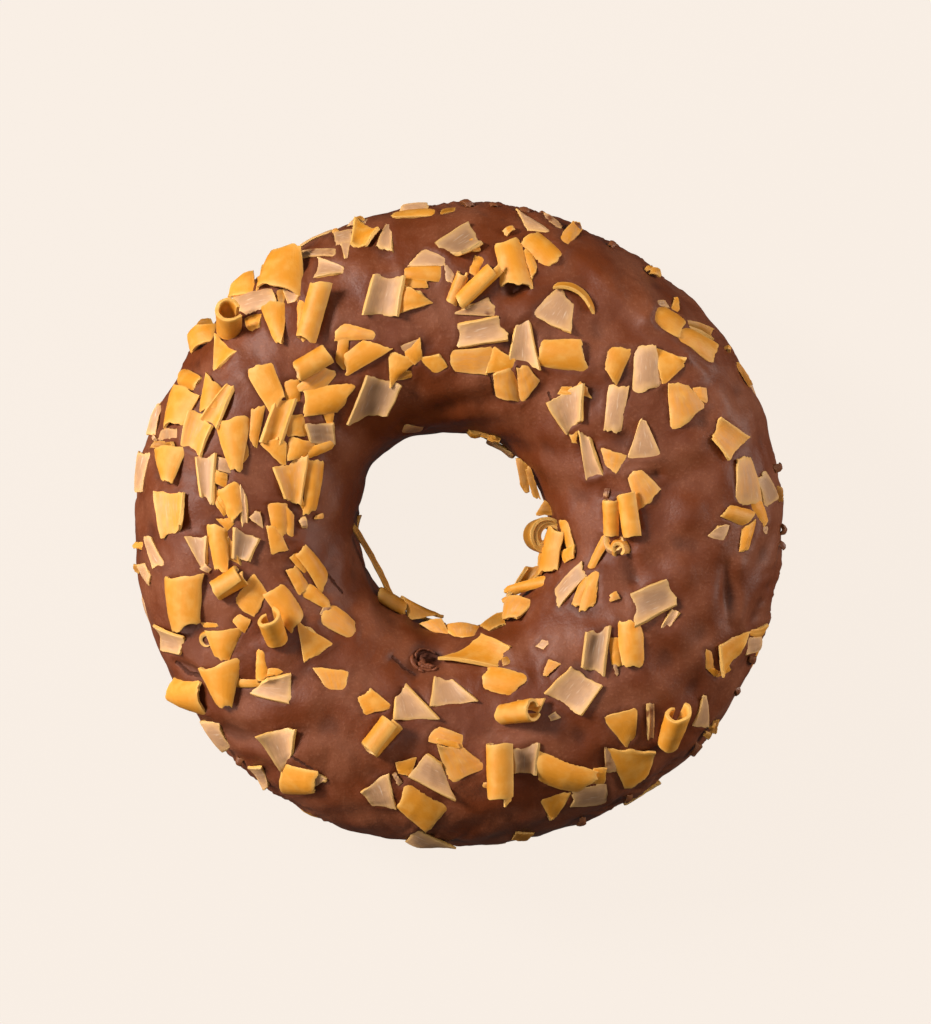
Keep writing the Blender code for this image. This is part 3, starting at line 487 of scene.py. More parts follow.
# Crumbs at the outline, as x and y in millimetres: of chocolate, then of crust, and for each
# kind its size, how far that varies, its tone and how far it may stand out
CRUMBS = (
    (0.9, 45.5), (4.8, 45.3), (9.2, 44.7), (11.6, 44.2), (16.6, 42.3), (21.8, 40.3), (45.5, 8.4),
    (46.2, -0.6), (46.0, -2.9), (41.6, -19.0), (39.2, -23.4), (33.4, -31.6), (24.2, -39.3),
    (17.6, -42.6), (-31.1, -33.2), (-44.6, 9.4),
)
CRUST_CRUMBS = ((28.0, 36.6), (27.2, 36.9), (36.3, -28.7), (4.9, 12.6), (2.2, 13.4))
CRUMB_KINDS = ((CRUMBS, 1.2, 0.5, "C", 0.7), (CRUST_CRUMBS, 1.3, 0.4, "D", 1.0))
UNEVEN_SPACING = 0.3
UNEVEN_SIZE = 0.2

# Each tone: how orange its top face and its under face are, how far chocolate films it, and how
# bright its middle is, a value below one darkening the middle, which for B and G is painted shade.
# O orange, A orange on both faces, P paler orange, M half orange, T tan, H dull tan, G greyish
# hollow with painted shade in its middle, B orange darkened by painted shade to brown orange,
# D crust, F filmed, C chocolate
TONES = {
    "O": (1.0, 0.3, 0.0, 1.0), "A": (1.0, 0.9, 0.0, 0.9), "P": (0.55, 0.6, 0.0, 1.08),
    "M": (0.4, 0.6, 0.0, 0.95), "T": (0.12, 1.0, 0.05, 1.0), "H": (0.15, 0.8, 0.15, 0.72),
    "G": (0.0, 0.7, 0.0, 0.6), "B": (0.95, 0.7, 0.08, 0.5), "D": (0.7, 0.6, 0.1, 0.75),
    "F": (0.3, 0.4, 0.42, 0.9), "C": (0.3, 0.4, 1.0, 0.9),
}

# Folds and pits of the skin as straight stretches in plan, in millimetres: ends, width, height
FOLDS = (
    (17.5, 37.5, 26.4, 28.7, 1.1, 0.40), (26.4, 28.7, 34.3, 21.5, 1.0, 0.42),
    (36.5, 19.2, 39.5, 15.0, 1.2, 0.25), (7.6, 33.4, 8.6, 33.9, 0.9, -1.1),
    (27.5, 7.3, 27.7, 7.2, 0.7, -0.7), (37.7, -5.6, 38.2, -13.9, 0.8, -0.35),
    (39.6, -5.6, 40.0, -13.9, 1.2, 0.3), (29.8, 8.6, 33.4, 6.0, 1.3, 0.3),
    (23.4, -2.6, 24.6, -7.4, 1.0, -0.4), (25.6, -4.0, 27.4, -7.8, 1.1, 0.3),
    (-9.5, -18.5, -6.3, -21.0, 0.6, -0.35), (-40.1, -19.4, -36.6, -21.1, 0.7, -0.6),
    (-8.6, 12.6, -6.4, 13.6, 1.0, -0.6), (-5.2, -18.2, -3.4, -18.6, 1.0, -0.8),
)

# Cracks in the skin as straight stretches in plan, in millimetres: ends and half width
CRACKS = (
    (-9.5, -18.5, -7.8, -20.1, 0.16), (-7.8, -20.1, -6.3, -21.0, 0.12),
    (-19.0, -6.5, -17.6, -8.3, 0.15), (-17.6, -8.3, -16.6, -9.4, 0.1),
    (-23.7, -32.6, -20.9, -34.3, 0.14), (12.6, 18.8, 13.4, 15.8, 0.16),
    (4.2, 22.2, 4.9, 18.6, 0.15), (8.1, 22.4, 8.7, 18.5, 0.2),
    (-40.1, -19.4, -38.4, -20.9, 0.22), (-38.4, -20.9, -36.6, -21.1, 0.18),
    # The last, wide stretch is no crack: it paints shade into the pit at the swirl
    (-5.2, -18.2, -3.2, -18.6, 0.7),
)

# Grids of the dough, the hems and the skin's inner side, and how far a hem bulges
DOUGH_GRID = (240, 96)
HEM_ROWS = 5
INSIDE_ROWS = 14
HEM_BULGE = math.radians(2.6)

# The scraped swirl as x, y and reach in millimetres, and the threads that loop over it
SWIRL = (-4.5, -18.6, 2.3)
THREAD_COUNT = 6
THREAD_STEPS = 40
THREAD_SIDES = 8
THREAD_WAVE = 0.14 * MM
THREAD_RADIUS = 0.26 * MM

# Chips: how many are tried, how far from a flake's middle as shares of its size, how clear of the
# flakes they keep, size in millimetres and how far it varies, how far they stand out, then their
# tones, depth, width beside length, torn edge, point, bend in degrees and its spread, and grid
CHIP_COUNT = 54
CHIP_AWAY = 0.6
CHIP_AWAY_SPREAD = 0.2
CHIP_CLEAR_SHARE = 0.45
CHIP_CLEAR = 0.4
CHIP_SIZE = 1.0
CHIP_SIZE_SPREAD = 0.45
CHIP_REACH = 0.6
CHIP_TONES = "OTPB"
CHIP_SUNK = 0.25 * MM
CHIP_WIDTH = 0.75
CHIP_TORN = 0.3
CHIP_POINT = 0.4
CHIP_ARC = 70
CHIP_ARC_SPREAD = 40
CHIP_GRID = 6

# Stage: floor, lights as name, place, size, power and colour, sky and camera
FLOOR_SIDE = 4.0
FLOOR_GAP = 0.03 * MM
FLOOR_GLOW = 0.985
LIGHTS = (
    ("key", (-0.60, 0.30, 0.50), 0.24, 9.8, (1.0, 0.965, 0.93)),
    ("side", (-0.66, -0.24, 0.16), 0.40, 2.3, (1.0, 0.93, 0.88)),
    ("fill", (0.64, 0.18, 0.13), 0.40, 3.9, (1.0, 0.95, 0.90)),
    ("top", (0.06, 0.10, 0.95), 0.34, 1.9, (1.0, 0.97, 0.94)),
)
LIGHT_AIM = Vector((0.0, 0.0, 0.015))
SKY_COLOUR = (1.0, 0.96, 0.92, 1.0)
SKY_STRENGTH = 0.09
SENSOR = 36.0
CAMERA_DISTANCE = 1.2
FRAME_HEIGHT = 0.1463
CAMERA_X = 0.0008
CAMERA_Y = 0.002


class RingSizes(bpy.types.PropertyGroup):
    """Sizes of the coated ring."""

    outer_radius: FloatProperty(
        name="Outer radius", description="Radius of the coated ring at its widest",
        default=0.046, unit="LENGTH")
    hole_radius: FloatProperty(
        name="Hole radius", description="Radius of the hole at its narrowest",
        default=0.0139, unit="LENGTH")
    hole_x: FloatProperty(
        name="Hole X", description="How far the hole's centre lies to the right",
        default=-0.0012, unit="LENGTH")
    hole_y: FloatProperty(
        name="Hole Y", description="How far the hole's centre lies to the back",
        default=-0.0003, unit="LENGTH")
    equator: FloatProperty(
        name="Equator", description="Height of the widest line above the floor",
        default=0.015, unit="LENGTH")
    crown: FloatProperty(
        name="Crown", description="Height of the crown above the equator",
        default=0.015, unit="LENGTH")
    keel: FloatProperty(
        name="Keel", description="Depth of the section below the equator before the floor cuts it",
        default=0.0195, unit="LENGTH")
    roundness: FloatProperty(
        name="Roundness", description="Power of the sine and cosine in the section, under one is fuller",
        default=0.9)
    skin: FloatProperty(
        name="Skin", description="Thickness of the chocolate skin",
        default=0.0015, unit="LENGTH")
    gap: FloatProperty(
        name="Gap", description="Gap between the skin and the dough",
        default=0.0005, unit="LENGTH")
    steps_round: IntProperty(
        name="Steps round", description="Steps of the skin's surface round the ring", default=640)
    steps_over: IntProperty(
        name="Steps over", description="Steps of the skin's surface from hem to hem", default=124)


class CurlSizes(bpy.types.PropertyGroup):
    """Sizes of the chocolate curls."""

    sheet: FloatProperty(
        name="Sheet", description="Thickness of the shaved chocolate", default=0.00055, unit="LENGTH")
    torn: FloatProperty(
        name="Torn", description="How far the ends and sides wander, as a share of the size",
        default=0.10)
    rows: IntProperty(name="Rows", description="Grid rows along a curl", default=16)
    columns: IntProperty(name="Columns", description="Grid columns across a curl", default=16)


class Colours(bpy.types.PropertyGroup):
    """Colours of the finishes, as seen on a screen."""

    chocolate: FloatVectorProperty(
        name="Chocolate", description="Set milk chocolate", default=(0.392, 0.172, 0.052),
        subtype="COLOR_GAMMA")
    # Painted shade: besides the cracks, this colour darkens the dents of the skin and the skin beside each
    # curl
    chocolate_dark: FloatVectorProperty(
        name="Dark chocolate", description="Milk chocolate in cracks and thin places",
        default=(0.24, 0.098, 0.035), subtype="COLOR_GAMMA")
    bloom: FloatVectorProperty(
        name="Bloom", description="Faint fat bloom on the chocolate", default=(0.605, 0.38, 0.27),
        subtype="COLOR_GAMMA")
    orange: FloatVectorProperty(
        name="Orange", description="Smooth outer face of a curl", default=(0.82, 0.525, 0.11),
        subtype="COLOR_GAMMA")
    orange_pale: FloatVectorProperty(
        name="Worn orange", description="Worn edges of a curl", default=(0.885, 0.71, 0.39),
        subtype="COLOR_GAMMA")
    tan: FloatVectorProperty(
        name="Tan", description="Shaved inner face of a curl", default=(0.775, 0.582, 0.39),
        subtype="COLOR_GAMMA")
    tan_pale: FloatVectorProperty(
        name="Pale tan", description="Pale streaks of the inner face", default=(0.825, 0.66, 0.505),
        subtype="COLOR_GAMMA")
    tan_dull: FloatVectorProperty(
        name="Dull tan", description="Greyish middle of a hollow inner face", default=(0.67, 0.50, 0.36),
        subtype="COLOR_GAMMA")
    speck: FloatVectorProperty(
        name="Speck", description="Whitish sugar and milk specks", default=(0.93, 0.85, 0.76),
        subtype="COLOR_GAMMA")
    dough: FloatVectorProperty(
        name="Dough", description="Fried dough crust", default=(0.72, 0.48, 0.245),
        subtype="COLOR_GAMMA")
    dough_dark: FloatVectorProperty(
        name="Browned dough", description="Darker fried patches of the crust",
        default=(0.52, 0.29, 0.12), subtype="COLOR_GAMMA")
    floor: FloatVectorProperty(
        name="Floor", description="Plain pale floor", default=(0.969, 0.929, 0.890),
        subtype="COLOR_GAMMA")


class RingSurface:
    """The coated ring as a surface of two angles: one round the ring, one round its section."""

    def __init__(self, sizes):
        self.sizes = sizes

    def section(self, theta):
        """Middle radius and half width of the cross-section at an angle round the ring."""
        sizes = self.sizes
        inner = sizes.hole_radius + sizes.hole_x * np.cos(theta) + sizes.hole_y * np.sin(theta)
        return (sizes.outer_radius + inner) / 2, (sizes.outer_radius - inner) / 2

    def rounded(self, value):
        """A sine or cosine raised to the roundness, keeping its sign."""
        return np.sign(value) * np.abs(value) ** self.sizes.roundness

    def rounded_back(self, value):
        """The opposite of rounded."""
        return np.sign(value) * np.abs(value) ** (1 / self.sizes.roundness)

    def swelling(self, theta, phi):
        """How far the surface stands out: sines round the ring, and bell curves in plan that fade
        below the crown."""
        middle, half = self.section(theta)
        radius = middle + half * self.rounded(np.cos(phi))
        x = radius * np.cos(theta) / MM
        y = radius * np.sin(theta) / MM
        total = np.zeros_like(x)
        for centre_x, centre_y, turn, length, width, height in RELIEF:
            cosine, sine = math.cos(math.radians(turn)), math.sin(math.radians(turn))
            along = (x - centre_x) * cosine + (y - centre_y) * sine
            across = (y - centre_y) * cosine - (x - centre_x) * sine
            total += height * MM * np.exp(-(along / length) ** 2 - (across / width) ** 2)
        total = total * np.clip(np.sin(phi) / RELIEF_FADE, 0.0, 1.0)
        for count, height, phase in WAVES:
            total = total + height * MM * np.sin(count * theta + math.radians(phase))
        return total

    def point(self, theta, phi, inset=0.0):
        """A circle's section stretched to half width and height, with its sine and cosine raised
        to the roundness, moved out by the swelling less the inset."""
        sizes = self.sizes
        middle, half = self.section(theta)
        out = self.swelling(theta, phi) - inset
        height = np.where(np.sin(phi) > 0, sizes.crown, sizes.keel)
        radius = middle + (half + out) * self.rounded(np.cos(phi))
        z = sizes.equator + (height + out) * self.rounded(np.sin(phi))
        return np.stack((radius * np.cos(theta), radius * np.sin(theta), z), axis=-1)

    def depth(self, points):
        """How deep points lie below the coated surface, measured towards the section's middle."""
        sizes = self.sizes
        theta = np.arctan2(points[..., 1], points[..., 0])
        middle, half = self.section(theta)
        across = np.hypot(points[..., 0], points[..., 1]) - middle
        up = points[..., 2] - sizes.equator
        phi = np.arctan2(self.rounded_back(up / sizes.crown), self.rounded_back(across / half))
        height = np.where(up > 0, sizes.crown, sizes.keel)
        power = 2 / sizes.roundness
        level = (np.abs(across / half) ** power + np.abs(up / height) ** power) ** (1 / power)
        return np.hypot(across, up) * (1 / level - 1) + self.swelling(theta, phi)

    def angles(self, x, y):
        """Angles of the crown's point that the camera sees at a place in the equator's plane: the
        place is drawn in towards the camera's foot by the point's height."""
        height = 0.0
        for _ in range(3):
            closer = 1 - height / CAMERA_DISTANCE
            plan_x = CAMERA_X + (x - CAMERA_X) * closer
            plan_y = CAMERA_Y + (y - CAMERA_Y) * closer
            theta = np.arctan2(plan_y, plan_x)
            middle, half = self.section(theta)
            share = (np.hypot(plan_x, plan_y) - middle) / half
            phi = np.arccos(self.rounded_back(np.clip(share, -WIDEST_SHARE, WIDEST_SHARE)))
            height = self.point(theta, phi)[..., 2] - self.sizes.equator
        return theta, phi

    def seen(self, x, y):
        """Point that the camera sees at a place in the equator's plane, at the height of the ring
        there, or of its wall where the place lies beyond it."""
        height = self.point(*self.angles(x, y))[2]
        closer = 1 - (height - self.sizes.equator) / CAMERA_DISTANCE
        return np.array((CAMERA_X + (x - CAMERA_X) * closer, CAMERA_Y + (y - CAMERA_Y) * closer, height))

    def seat(self, theta, phi):
        """Point and outward direction of the surface at two angles."""
        step = ANGLE_STEP
        angles = np.array((theta, theta + step, theta)), np.array((phi, phi, phi + step))
        here, round_ring, round_section = self.point(*angles)
        normal = np.cross(round_ring - here, round_section - here)
        return here, normal / np.linalg.norm(normal)


def chance(x, y, salt):
    """A number from -1 to 1 that depends on the place and salt alone, evenly spread, so that a
    curl always lies the same way."""
    angle = x * CHANCE_X + y * CHANCE_Y + salt * CHANCE_SALT
    return 2 * ((math.sin(angle) * CHANCE_GAIN) % 1.0) - 1


def ripple(value, salt, waves=5):
    """A wandering line: sines of rising frequency and falling height, their phases drawn from the salt."""
    total = np.zeros_like(value)
    for index in range(waves):
        phase = math.pi * chance(salt, index, 11)
        total += np.sin(value * (1.3 + 1.9 * index) + phase) / (1 + index)
    return total / 2


def lumps(points, wavelength, salt, waves=9):
    """Smooth noise in space: sines along directions drawn from the salt, all near one wavelength."""
    total = np.zeros(points.shape[:-1])
    for index in range(waves):
        tip = np.array([chance(salt, index, axis) for axis in (21, 22, 23)])
        tip = tip / np.linalg.norm(tip)
        reach = wavelength * (1 + 0.4 * chance(salt, index, 24))
        total += np.sin(points @ tip * 2 * math.pi / reach + math.pi * chance(salt, index, 25))
    return total / math.sqrt(waves)


def jagged(value, salt):
    """A broken line: straight stretches between heights from -1 to 1 that chance sets at each
    whole number."""
    whole = np.floor(value)
    before, after = (
        2 * ((np.sin((whole + step) * CHANCE_X + salt * JAG_SALT) * CHANCE_GAIN) % 1.0) - 1
        for step in (0, 1))
    return before + (after - before) * (value - whole)


def eased(value, low, high):
    """Zero below low, one above high, and a smooth step between."""
    share = np.clip((value - low) / (high - low), 0.0, 1.0)
    return share * share * (3 - 2 * share)


def unit(vectors):
    """Vectors brought to length one."""
    return vectors / np.linalg.norm(vectors, axis=-1, keepdims=True)


def turned(first, second, angle):
    """Two directions at right angles, both turned in their own plane from the first to the second."""
    sine, cosine = math.sin(angle), math.cos(angle)
    return first * cosine + second * sine, second * cosine - first * sine


def grid_quads(rows, columns, wrap_rows=False, wrap_columns=False):
    """Corner numbers of the quads of a grid, closed on itself where it wraps."""
    numbers = np.arange(rows * columns).reshape(rows, columns)
    if wrap_rows:
        numbers = np.vstack((numbers, numbers[:1]))
    if wrap_columns:
        numbers = np.hstack((numbers, numbers[:, :1]))
    corners = (numbers[:-1, :-1], numbers[1:, :-1], numbers[1:, 1:], numbers[:-1, 1:])
    return np.stack(corners, axis=-1).reshape(-1, 4)


def facing_out(vertices, quads):
    """The quads, all turned over if together they enclose a negative volume."""
    a, b, c, d = (vertices[quads[:, corner]] for corner in range(4))
    volume = np.einsum("ij,ij->", a, np.cross(b, c)) + np.einsum("ij,ij->", a, np.cross(c, d))
    return quads if volume > 0 else quads[:, ::-1]


def build_piece(name, vertices, quads, finish, node, attributes=(), uv=None, crease=None):
    """A mesh object from arrays, with its float attributes and UV map, riding on the body."""
    mesh = bpy.data.meshes.new(name)
    mesh.vertices.add(len(vertices))
    mesh.vertices.foreach_set("co", vertices.astype(np.float32).ravel())
    mesh.loops.add(quads.size)
    mesh.loops.foreach_set("vertex_index", quads.astype(np.int32).ravel())
    mesh.polygons.add(len(quads))
    mesh.polygons.foreach_set("loop_start", np.arange(0, quads.size, 4, dtype=np.int32))
    mesh.update(calc_edges=True)
    mesh.validate()
    for label, values in attributes:
        mesh.attributes.new(label, "FLOAT", "POINT").data.foreach_set("value", values.astype(np.float32))
    if uv is not None:
        layer = mesh.uv_layers.new(name="UVMap")
        layer.data.foreach_set("uv", uv[quads.ravel()].astype(np.float32).ravel())
    mesh.shade_smooth()
    if crease is not None:
        mesh.set_sharp_from_angle(angle=crease)
    mesh.materials.append(finish)
    piece = bpy.data.objects.new(name, mesh)
    bpy.context.scene.collection.objects.link(piece)
    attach(piece, "root")
    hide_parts(node)
    return piece


class Signal:
    """A node's output socket that adds Math nodes when it is used in an expression."""

    def __init__(self, finish, socket):
        self.finish = finish
        self.socket = socket

    def maths(self, operation, *others):
        """A Math node on this value and the others."""
        sockets = dict(enumerate((self,) + others))
        return self.finish.add("ShaderNodeMath", {"operation": operation}, sockets)

    def reflected(self, operation, other):
        """A Math node with this value on the right."""
        return self.finish.add("ShaderNodeMath", {"operation": operation}, {0: other, 1: self})

    __add__ = partialmethod(maths, "ADD")
    __radd__ = partialmethod(reflected, "ADD")
    __sub__ = partialmethod(maths, "SUBTRACT")
    __rsub__ = partialmethod(reflected, "SUBTRACT")
    __mul__ = partialmethod(maths, "MULTIPLY")
    __rmul__ = partialmethod(reflected, "MULTIPLY")

    def smooth(self, low, high):
        """Zero at low, one at high, and a smooth step between."""
        return self.finish.add(
            "ShaderNodeMapRange", {"interpolation_type": "SMOOTHSTEP"},
            {"Value": self, "From Min": low, "From Max": high})


class Finish:
    """A material's nodes, with one method that adds any of them."""

    def __init__(self, name):
        self.material = bpy.data.materials.new(name)
        self.material.use_nodes = True
        self.tree = self.material.node_tree
        self.shader = self.tree.nodes["Principled BSDF"]

    def add(self, kind, settings=None, sockets=None, output=0):
        """A node of a kind, its settings set first, then the values or links of its sockets."""
        node = self.tree.nodes.new(kind)
        for label, value in (settings or {}).items():
            setattr(node, label, value)
        for label, value in (sockets or {}).items():
            self.feed(node.inputs[label], value)
        return Signal(self, node.outputs[output])

    def feed(self, socket, value):
        """Links a signal to a socket, or sets the socket's own value."""
        if isinstance(value, Signal):
            self.tree.links.new(value.socket, socket)
        else:
            socket.default_value = value

    def place(self):
        """Object coordinates in metres."""
        return self.add("ShaderNodeTexCoord", output="Object")

    def noise(self, vector, size, detail=2.0, rough=0.5):
        """Noise whose features have about the given size in metres."""
        return self.add("ShaderNodeTexNoise", None, {
            "Vector": vector, "Scale": 1 / size, "Detail": detail, "Roughness": rough})

    def stretched(self, vector, scale):
        """Coordinates scaled along each axis."""
        return self.add("ShaderNodeMapping", None, {"Vector": vector, "Scale": scale})

    def attribute(self, label):
        """A float attribute of the mesh."""
        return self.add("ShaderNodeAttribute", {"attribute_name": label}, output="Fac")

    def mix(self, factor, first, second):
        """A colour between two colours."""
        return self.add("ShaderNodeMix", {"data_type": "RGBA"}, {0: factor, 6: first, 7: second}, output=2)

    def bump(self, height, strength, distance):
        """A normal tilted by a height in metres times the distance."""
        return self.add("ShaderNodeBump", None, {
            "Height": height, "Strength": strength, "Distance": distance})

    def surface(self, **sockets):
        """Feeds the Principled shader's sockets, named with underscores for spaces."""
        for label, value in sockets.items():
            self.feed(self.shader.inputs[label.replace("_", " ")], value)
        return self.material


def linear(colour):
    """A screen colour as linear light with full alpha."""
    screen = np.array(colour[:])
    light = np.where(screen <= 0.04045, screen / 12.92, ((screen + 0.055) / 1.055) ** 2.4)
    return (*light.tolist(), 1.0)


def chocolate_finish(colours):
    """Set milk chocolate: soft cloudy colour, faint bloom grain, darker cracks, satin gloss, with painted
    shade in the dents, beside the curls and in the swirl's pit.
    """
    finish = Finish("set_milk_chocolate")
    place = finish.place()
    clouds = finish.noise(place, 7 * MM, 3.0)
    grain = finish.noise(place, 0.45 * MM, 3.0, 0.65)
    pores = finish.noise(place, 1.6 * MM, 2.0)
    # Painted shade: this mask adds to the cracks a painted contact shadow along each curl's rim and the
    # darkening over the swirl
    cracks_and_painted_shade = finish.attribute("scraped_and_painted_shade")
    for start_x, start_y, end_x, end_y, width in CRACKS:
        cracks_and_painted_shade = cracks_and_painted_shade.maths("MAXIMUM", stretch_mask(finish, place, (start_x, start_y, end_x, end_y), width))
    # Painted shade in the dents of the relief
    painted_dent_shade = finish.attribute("painted_dent_shade")
    colour = finish.mix(
        clouds.smooth(0.35, 0.7) * 0.3, linear(colours.chocolate), linear(colours.bloom))
    bloom = grain.smooth(0.5, 0.72) * 0.3 * clouds.smooth(0.3, 0.6)
    colour = finish.mix(bloom, colour, linear(colours.bloom))
    # Cracks and painted shade darken the colour towards the darker chocolate
    dark = (cracks_and_painted_shade + painted_dent_shade * 0.6).maths("MINIMUM", 1.0) * 0.85
    colour = finish.mix(dark, colour, linear(colours.chocolate_dark))
    rough = 0.38 + grain * 0.14 + clouds * 0.12 + cracks_and_painted_shade * 0.25
    height = grain * 0.09 + pores * 0.08 - cracks_and_painted_shade * 0.35
    normal = finish.bump(height, 0.7, 1.0 * MM)
    return finish.surface(Base_Color=colour, Roughness=rough, Normal=normal, Specular_IOR_Level=0.28)


def stretch_mask(finish, place, ends, width):
    """One near a straight stretch in plan and zero away from it, its edge roughened by noise.

    The distance is that from the point to its nearest place on the stretch.
    """
    start_x, start_y, end_x, end_y = (value * MM for value in ends)
    length = math.hypot(end_x - start_x, end_y - start_y)
    along_x, along_y = (end_x - start_x) / length, (end_y - start_y) / length
    split = finish.add("ShaderNodeSeparateXYZ", None, {"Vector": place})
    x = split - start_x
    y = Signal(finish, split.socket.node.outputs["Y"]) - start_y
    along = (x * along_x + y * along_y).maths("MAXIMUM", 0.0).maths("MINIMUM", length)
    gap_x = x - along * along_x
    gap_y = y - along * along_y
    ragged = (finish.noise(place, 0.5 * MM) - 0.5) * 0.5 * MM
    distance = (gap_x * gap_x + gap_y * gap_y).maths("SQRT") + ragged
    return 1 - distance.smooth(width * MM * 0.4, width * MM * 1.6)


def curl_finish(colours):
    """Shaved orange chocolate: a smooth orange outer face, a streaked tan inner face, pale worn
    edges and a film of milk chocolate where it sinks in, the colour darkened towards the middle
    as painted shade where a tone asks for it."""
    finish = Finish("shaved_orange_chocolate")
    place = finish.place()
    flat = finish.add("ShaderNodeUVMap")
    streaks = finish.noise(finish.stretched(flat, (0.35, 1.5, 1.0)), 1.0, 3.0, 0.55)
    ridges = finish.noise(finish.stretched(flat, (0.4, 3.2, 1.0)), 1.0, 2.0)
    grain = finish.noise(place, 0.35 * MM, 3.0, 0.6)
    blotch = finish.noise(place, 1.8 * MM, 2.0)
    orange, rim, hollow, film, bright = (finish.attribute(label) for label in LOOKS)
    tan = finish.mix(streaks.smooth(0.35, 0.7) * 0.4, linear(colours.tan), linear(colours.tan_pale))
    dull = (hollow * 1.1 - 0.35 + (blotch - 0.5) * 1.4).smooth(0.0, 0.7)
    tan = finish.mix(dull * 0.75, tan, linear(colours.tan_dull))
    tan = finish.mix(ridges.smooth(0.58, 0.75) * dull * 0.4, tan, linear(colours.speck))
    outer = finish.mix(blotch.smooth(0.4, 0.75) * 0.28, linear(colours.orange), linear(colours.orange_pale))
    side = (orange + (streaks - 0.5) * 0.5).smooth(0.2, 0.7)
    colour = finish.mix(side, tan, outer)
    worn = (rim * 0.6 + grain.smooth(0.62, 0.8) * 0.2).maths("MINIMUM", 1.0)
    colour = finish.mix(worn, colour, linear(colours.orange_pale))
    # The brightness scales the colour: a little at random, and as painted shade in the middle of shaded
    # tones and hollows
    colour = finish.add("ShaderNodeHueSaturation", None, {"Color": colour, "Value": bright})
    coat = film + (blotch - 0.5) * 0.9
    colour = finish.mix(coat.smooth(0.42, 0.62) * 0.9, colour, linear(colours.chocolate))
    rough = 0.5 + grain * 0.15 - coat.smooth(0.42, 0.62) * 0.1
    height = grain * 0.05 + streaks * 0.10 * (1 - orange) + ridges * 0.06
    normal = finish.bump(height, 0.6, 0.8 * MM)
    return finish.surface(Base_Color=colour, Roughness=rough, Normal=normal, Specular_IOR_Level=0.4)


def dough_finish(colours):
    """Fried dough crust: golden with browner patches, a fine blistered grain and small pores."""
    finish = Finish("fried_dough_crust")
    place = finish.place()
    patches = finish.noise(place, 9 * MM, 4.0, 0.6)
    blisters = finish.add("ShaderNodeTexVoronoi", {"feature": "SMOOTH_F1"}, {
        "Vector": place, "Scale": 1 / (1.4 * MM)})
    pores = finish.noise(place, 0.5 * MM, 3.0)
    colour = finish.mix(patches.smooth(0.4, 0.7), linear(colours.dough), linear(colours.dough_dark))
    colour = finish.mix(pores.smooth(0.6, 0.8) * 0.5, colour, linear(colours.dough_dark))
    height = blisters * 0.35 + pores * 0.2
    return finish.surface(Base_Color=colour, Roughness=0.72 + pores * 0.15,
                          Normal=finish.bump(height, 0.5, 0.6 * MM))


def floor_finish(colours):
    """Plain pale floor that gives back nearly all light, with a barely seen cloudiness."""
    finish = Finish("pale_floor")
    cloud = finish.noise(finish.place(), 0.4, 2.0)
    colour = finish.mix(cloud * 0.02, linear(colours.floor), linear(colours.speck))
    finish.shader.inputs["Emission Strength"].default_value = FLOOR_GLOW
    finish.shader.inputs["Specular IOR Level"].default_value = 0.0
    return finish.surface(Base_Color=(0.02, 0.02, 0.02, 1.0), Roughness=0.9, Emission_Color=colour)


def sheet_parameters(rows, columns):
    """Two numbers over a sheet from -1 to 1, with a narrow row along each edge for its bevel."""
    along, across = (
        np.concatenate(([-1.0], np.linspace(-EDGE_BEVEL, EDGE_BEVEL, count - 2), [1.0]))
        for count in (rows, columns))
    return np.meshgrid(along, across, indexing="ij")


def torn_outline(along, across, amount, salt, crooked=CROOKED):
    """The sheet's parameters moved to a crooked outline: each corner is shifted by chance, both
    ends are torn to a jagged line and both sides to a calmer one."""
    new_along, new_across = along, across
    for end in (-1, 1):
        for side in (-1, 1):
            share = (1 + end * along) * (1 + side * across) / 4
            new_along = new_along + share * crooked * chance(salt, end, 1 + side)
            new_across = new_across + share * SIDE_CROOKED * crooked * chance(salt, end, 5 + side)
    which_end = np.sign(along) * END_APART
    coarse, fine = (jagged(across * teeth + which_end, salt) for teeth in END_TEETH)
    sides = jagged(along * SIDE_TEETH + np.sign(across) * END_APART, salt + 2)
    new_along = new_along + amount * (coarse + FINE_TORN * fine) * np.abs(along) ** TORN_POWER
    return new_along, new_across + SIDE_TORN * amount * sides * np.abs(across) ** TORN_POWER


def edge_share(along, across):
    """How near the rim of a sheet a place lies: nothing in the middle and one on the rim."""
    return np.maximum(np.abs(along), np.abs(across))


def bent_profile(arc, skew, share):
    """Places across a sheet whose curvature grows evenly from one side to the other: the angle is
    the summed curvature, the places the summed cosines and sines. The chord is 2 units."""
    fine = np.linspace(-PROFILE_REACH, PROFILE_REACH, PROFILE_STEPS)
    angle = arc / 2 * (fine + skew * fine ** 2 / 2)
    between = (angle[1:] + angle[:-1]) / 2
    drop, side = (np.concatenate(([0.0], np.cumsum(wave(between)))) for wave in (np.sin, np.cos))
    middle = len(fine) // 2
    side, drop = side - side[middle], drop - drop[middle]
    inside = np.abs(fine) <= 1.0
    scale = 2 / (side[inside].max() - side[inside].min())
    return np.interp(share, fine, side) * scale, -np.interp(share, fine, drop) * scale


def corner_lift(along, across, salt):
    """How far one corner of a sheet, drawn by chance, curls up: its share of the sheet, cubed."""
    end = math.copysign(1.0, chance(salt, 1, 51))
    side = math.copysign(1.0, chance(salt, 2, 52))
    share = np.clip((1 + end * along) * (1 + side * across) / 4, 0.0, LIFT_FARTHEST)
    return LIFT * (LIFT_SHARE + LIFT_SPREAD * chance(salt, 3, 53)) * share ** 3


def bent_sheet(along, across, arc, skew, length, width, point, cupped):
    """Sheet bent across by the bent profile, narrowed like a cone to a point at one end, and bowed
    along its length."""
    side, rise = bent_profile(arc, skew, across)
    narrow = np.clip(1 - point * (along + 1) / 2, FINEST_POINT, None) * width / 2
    rise = rise * narrow - BOW * along ** 2
    if cupped:
        rise = -rise
    return np.stack((along * length / 2, side * narrow, rise), axis=-1)


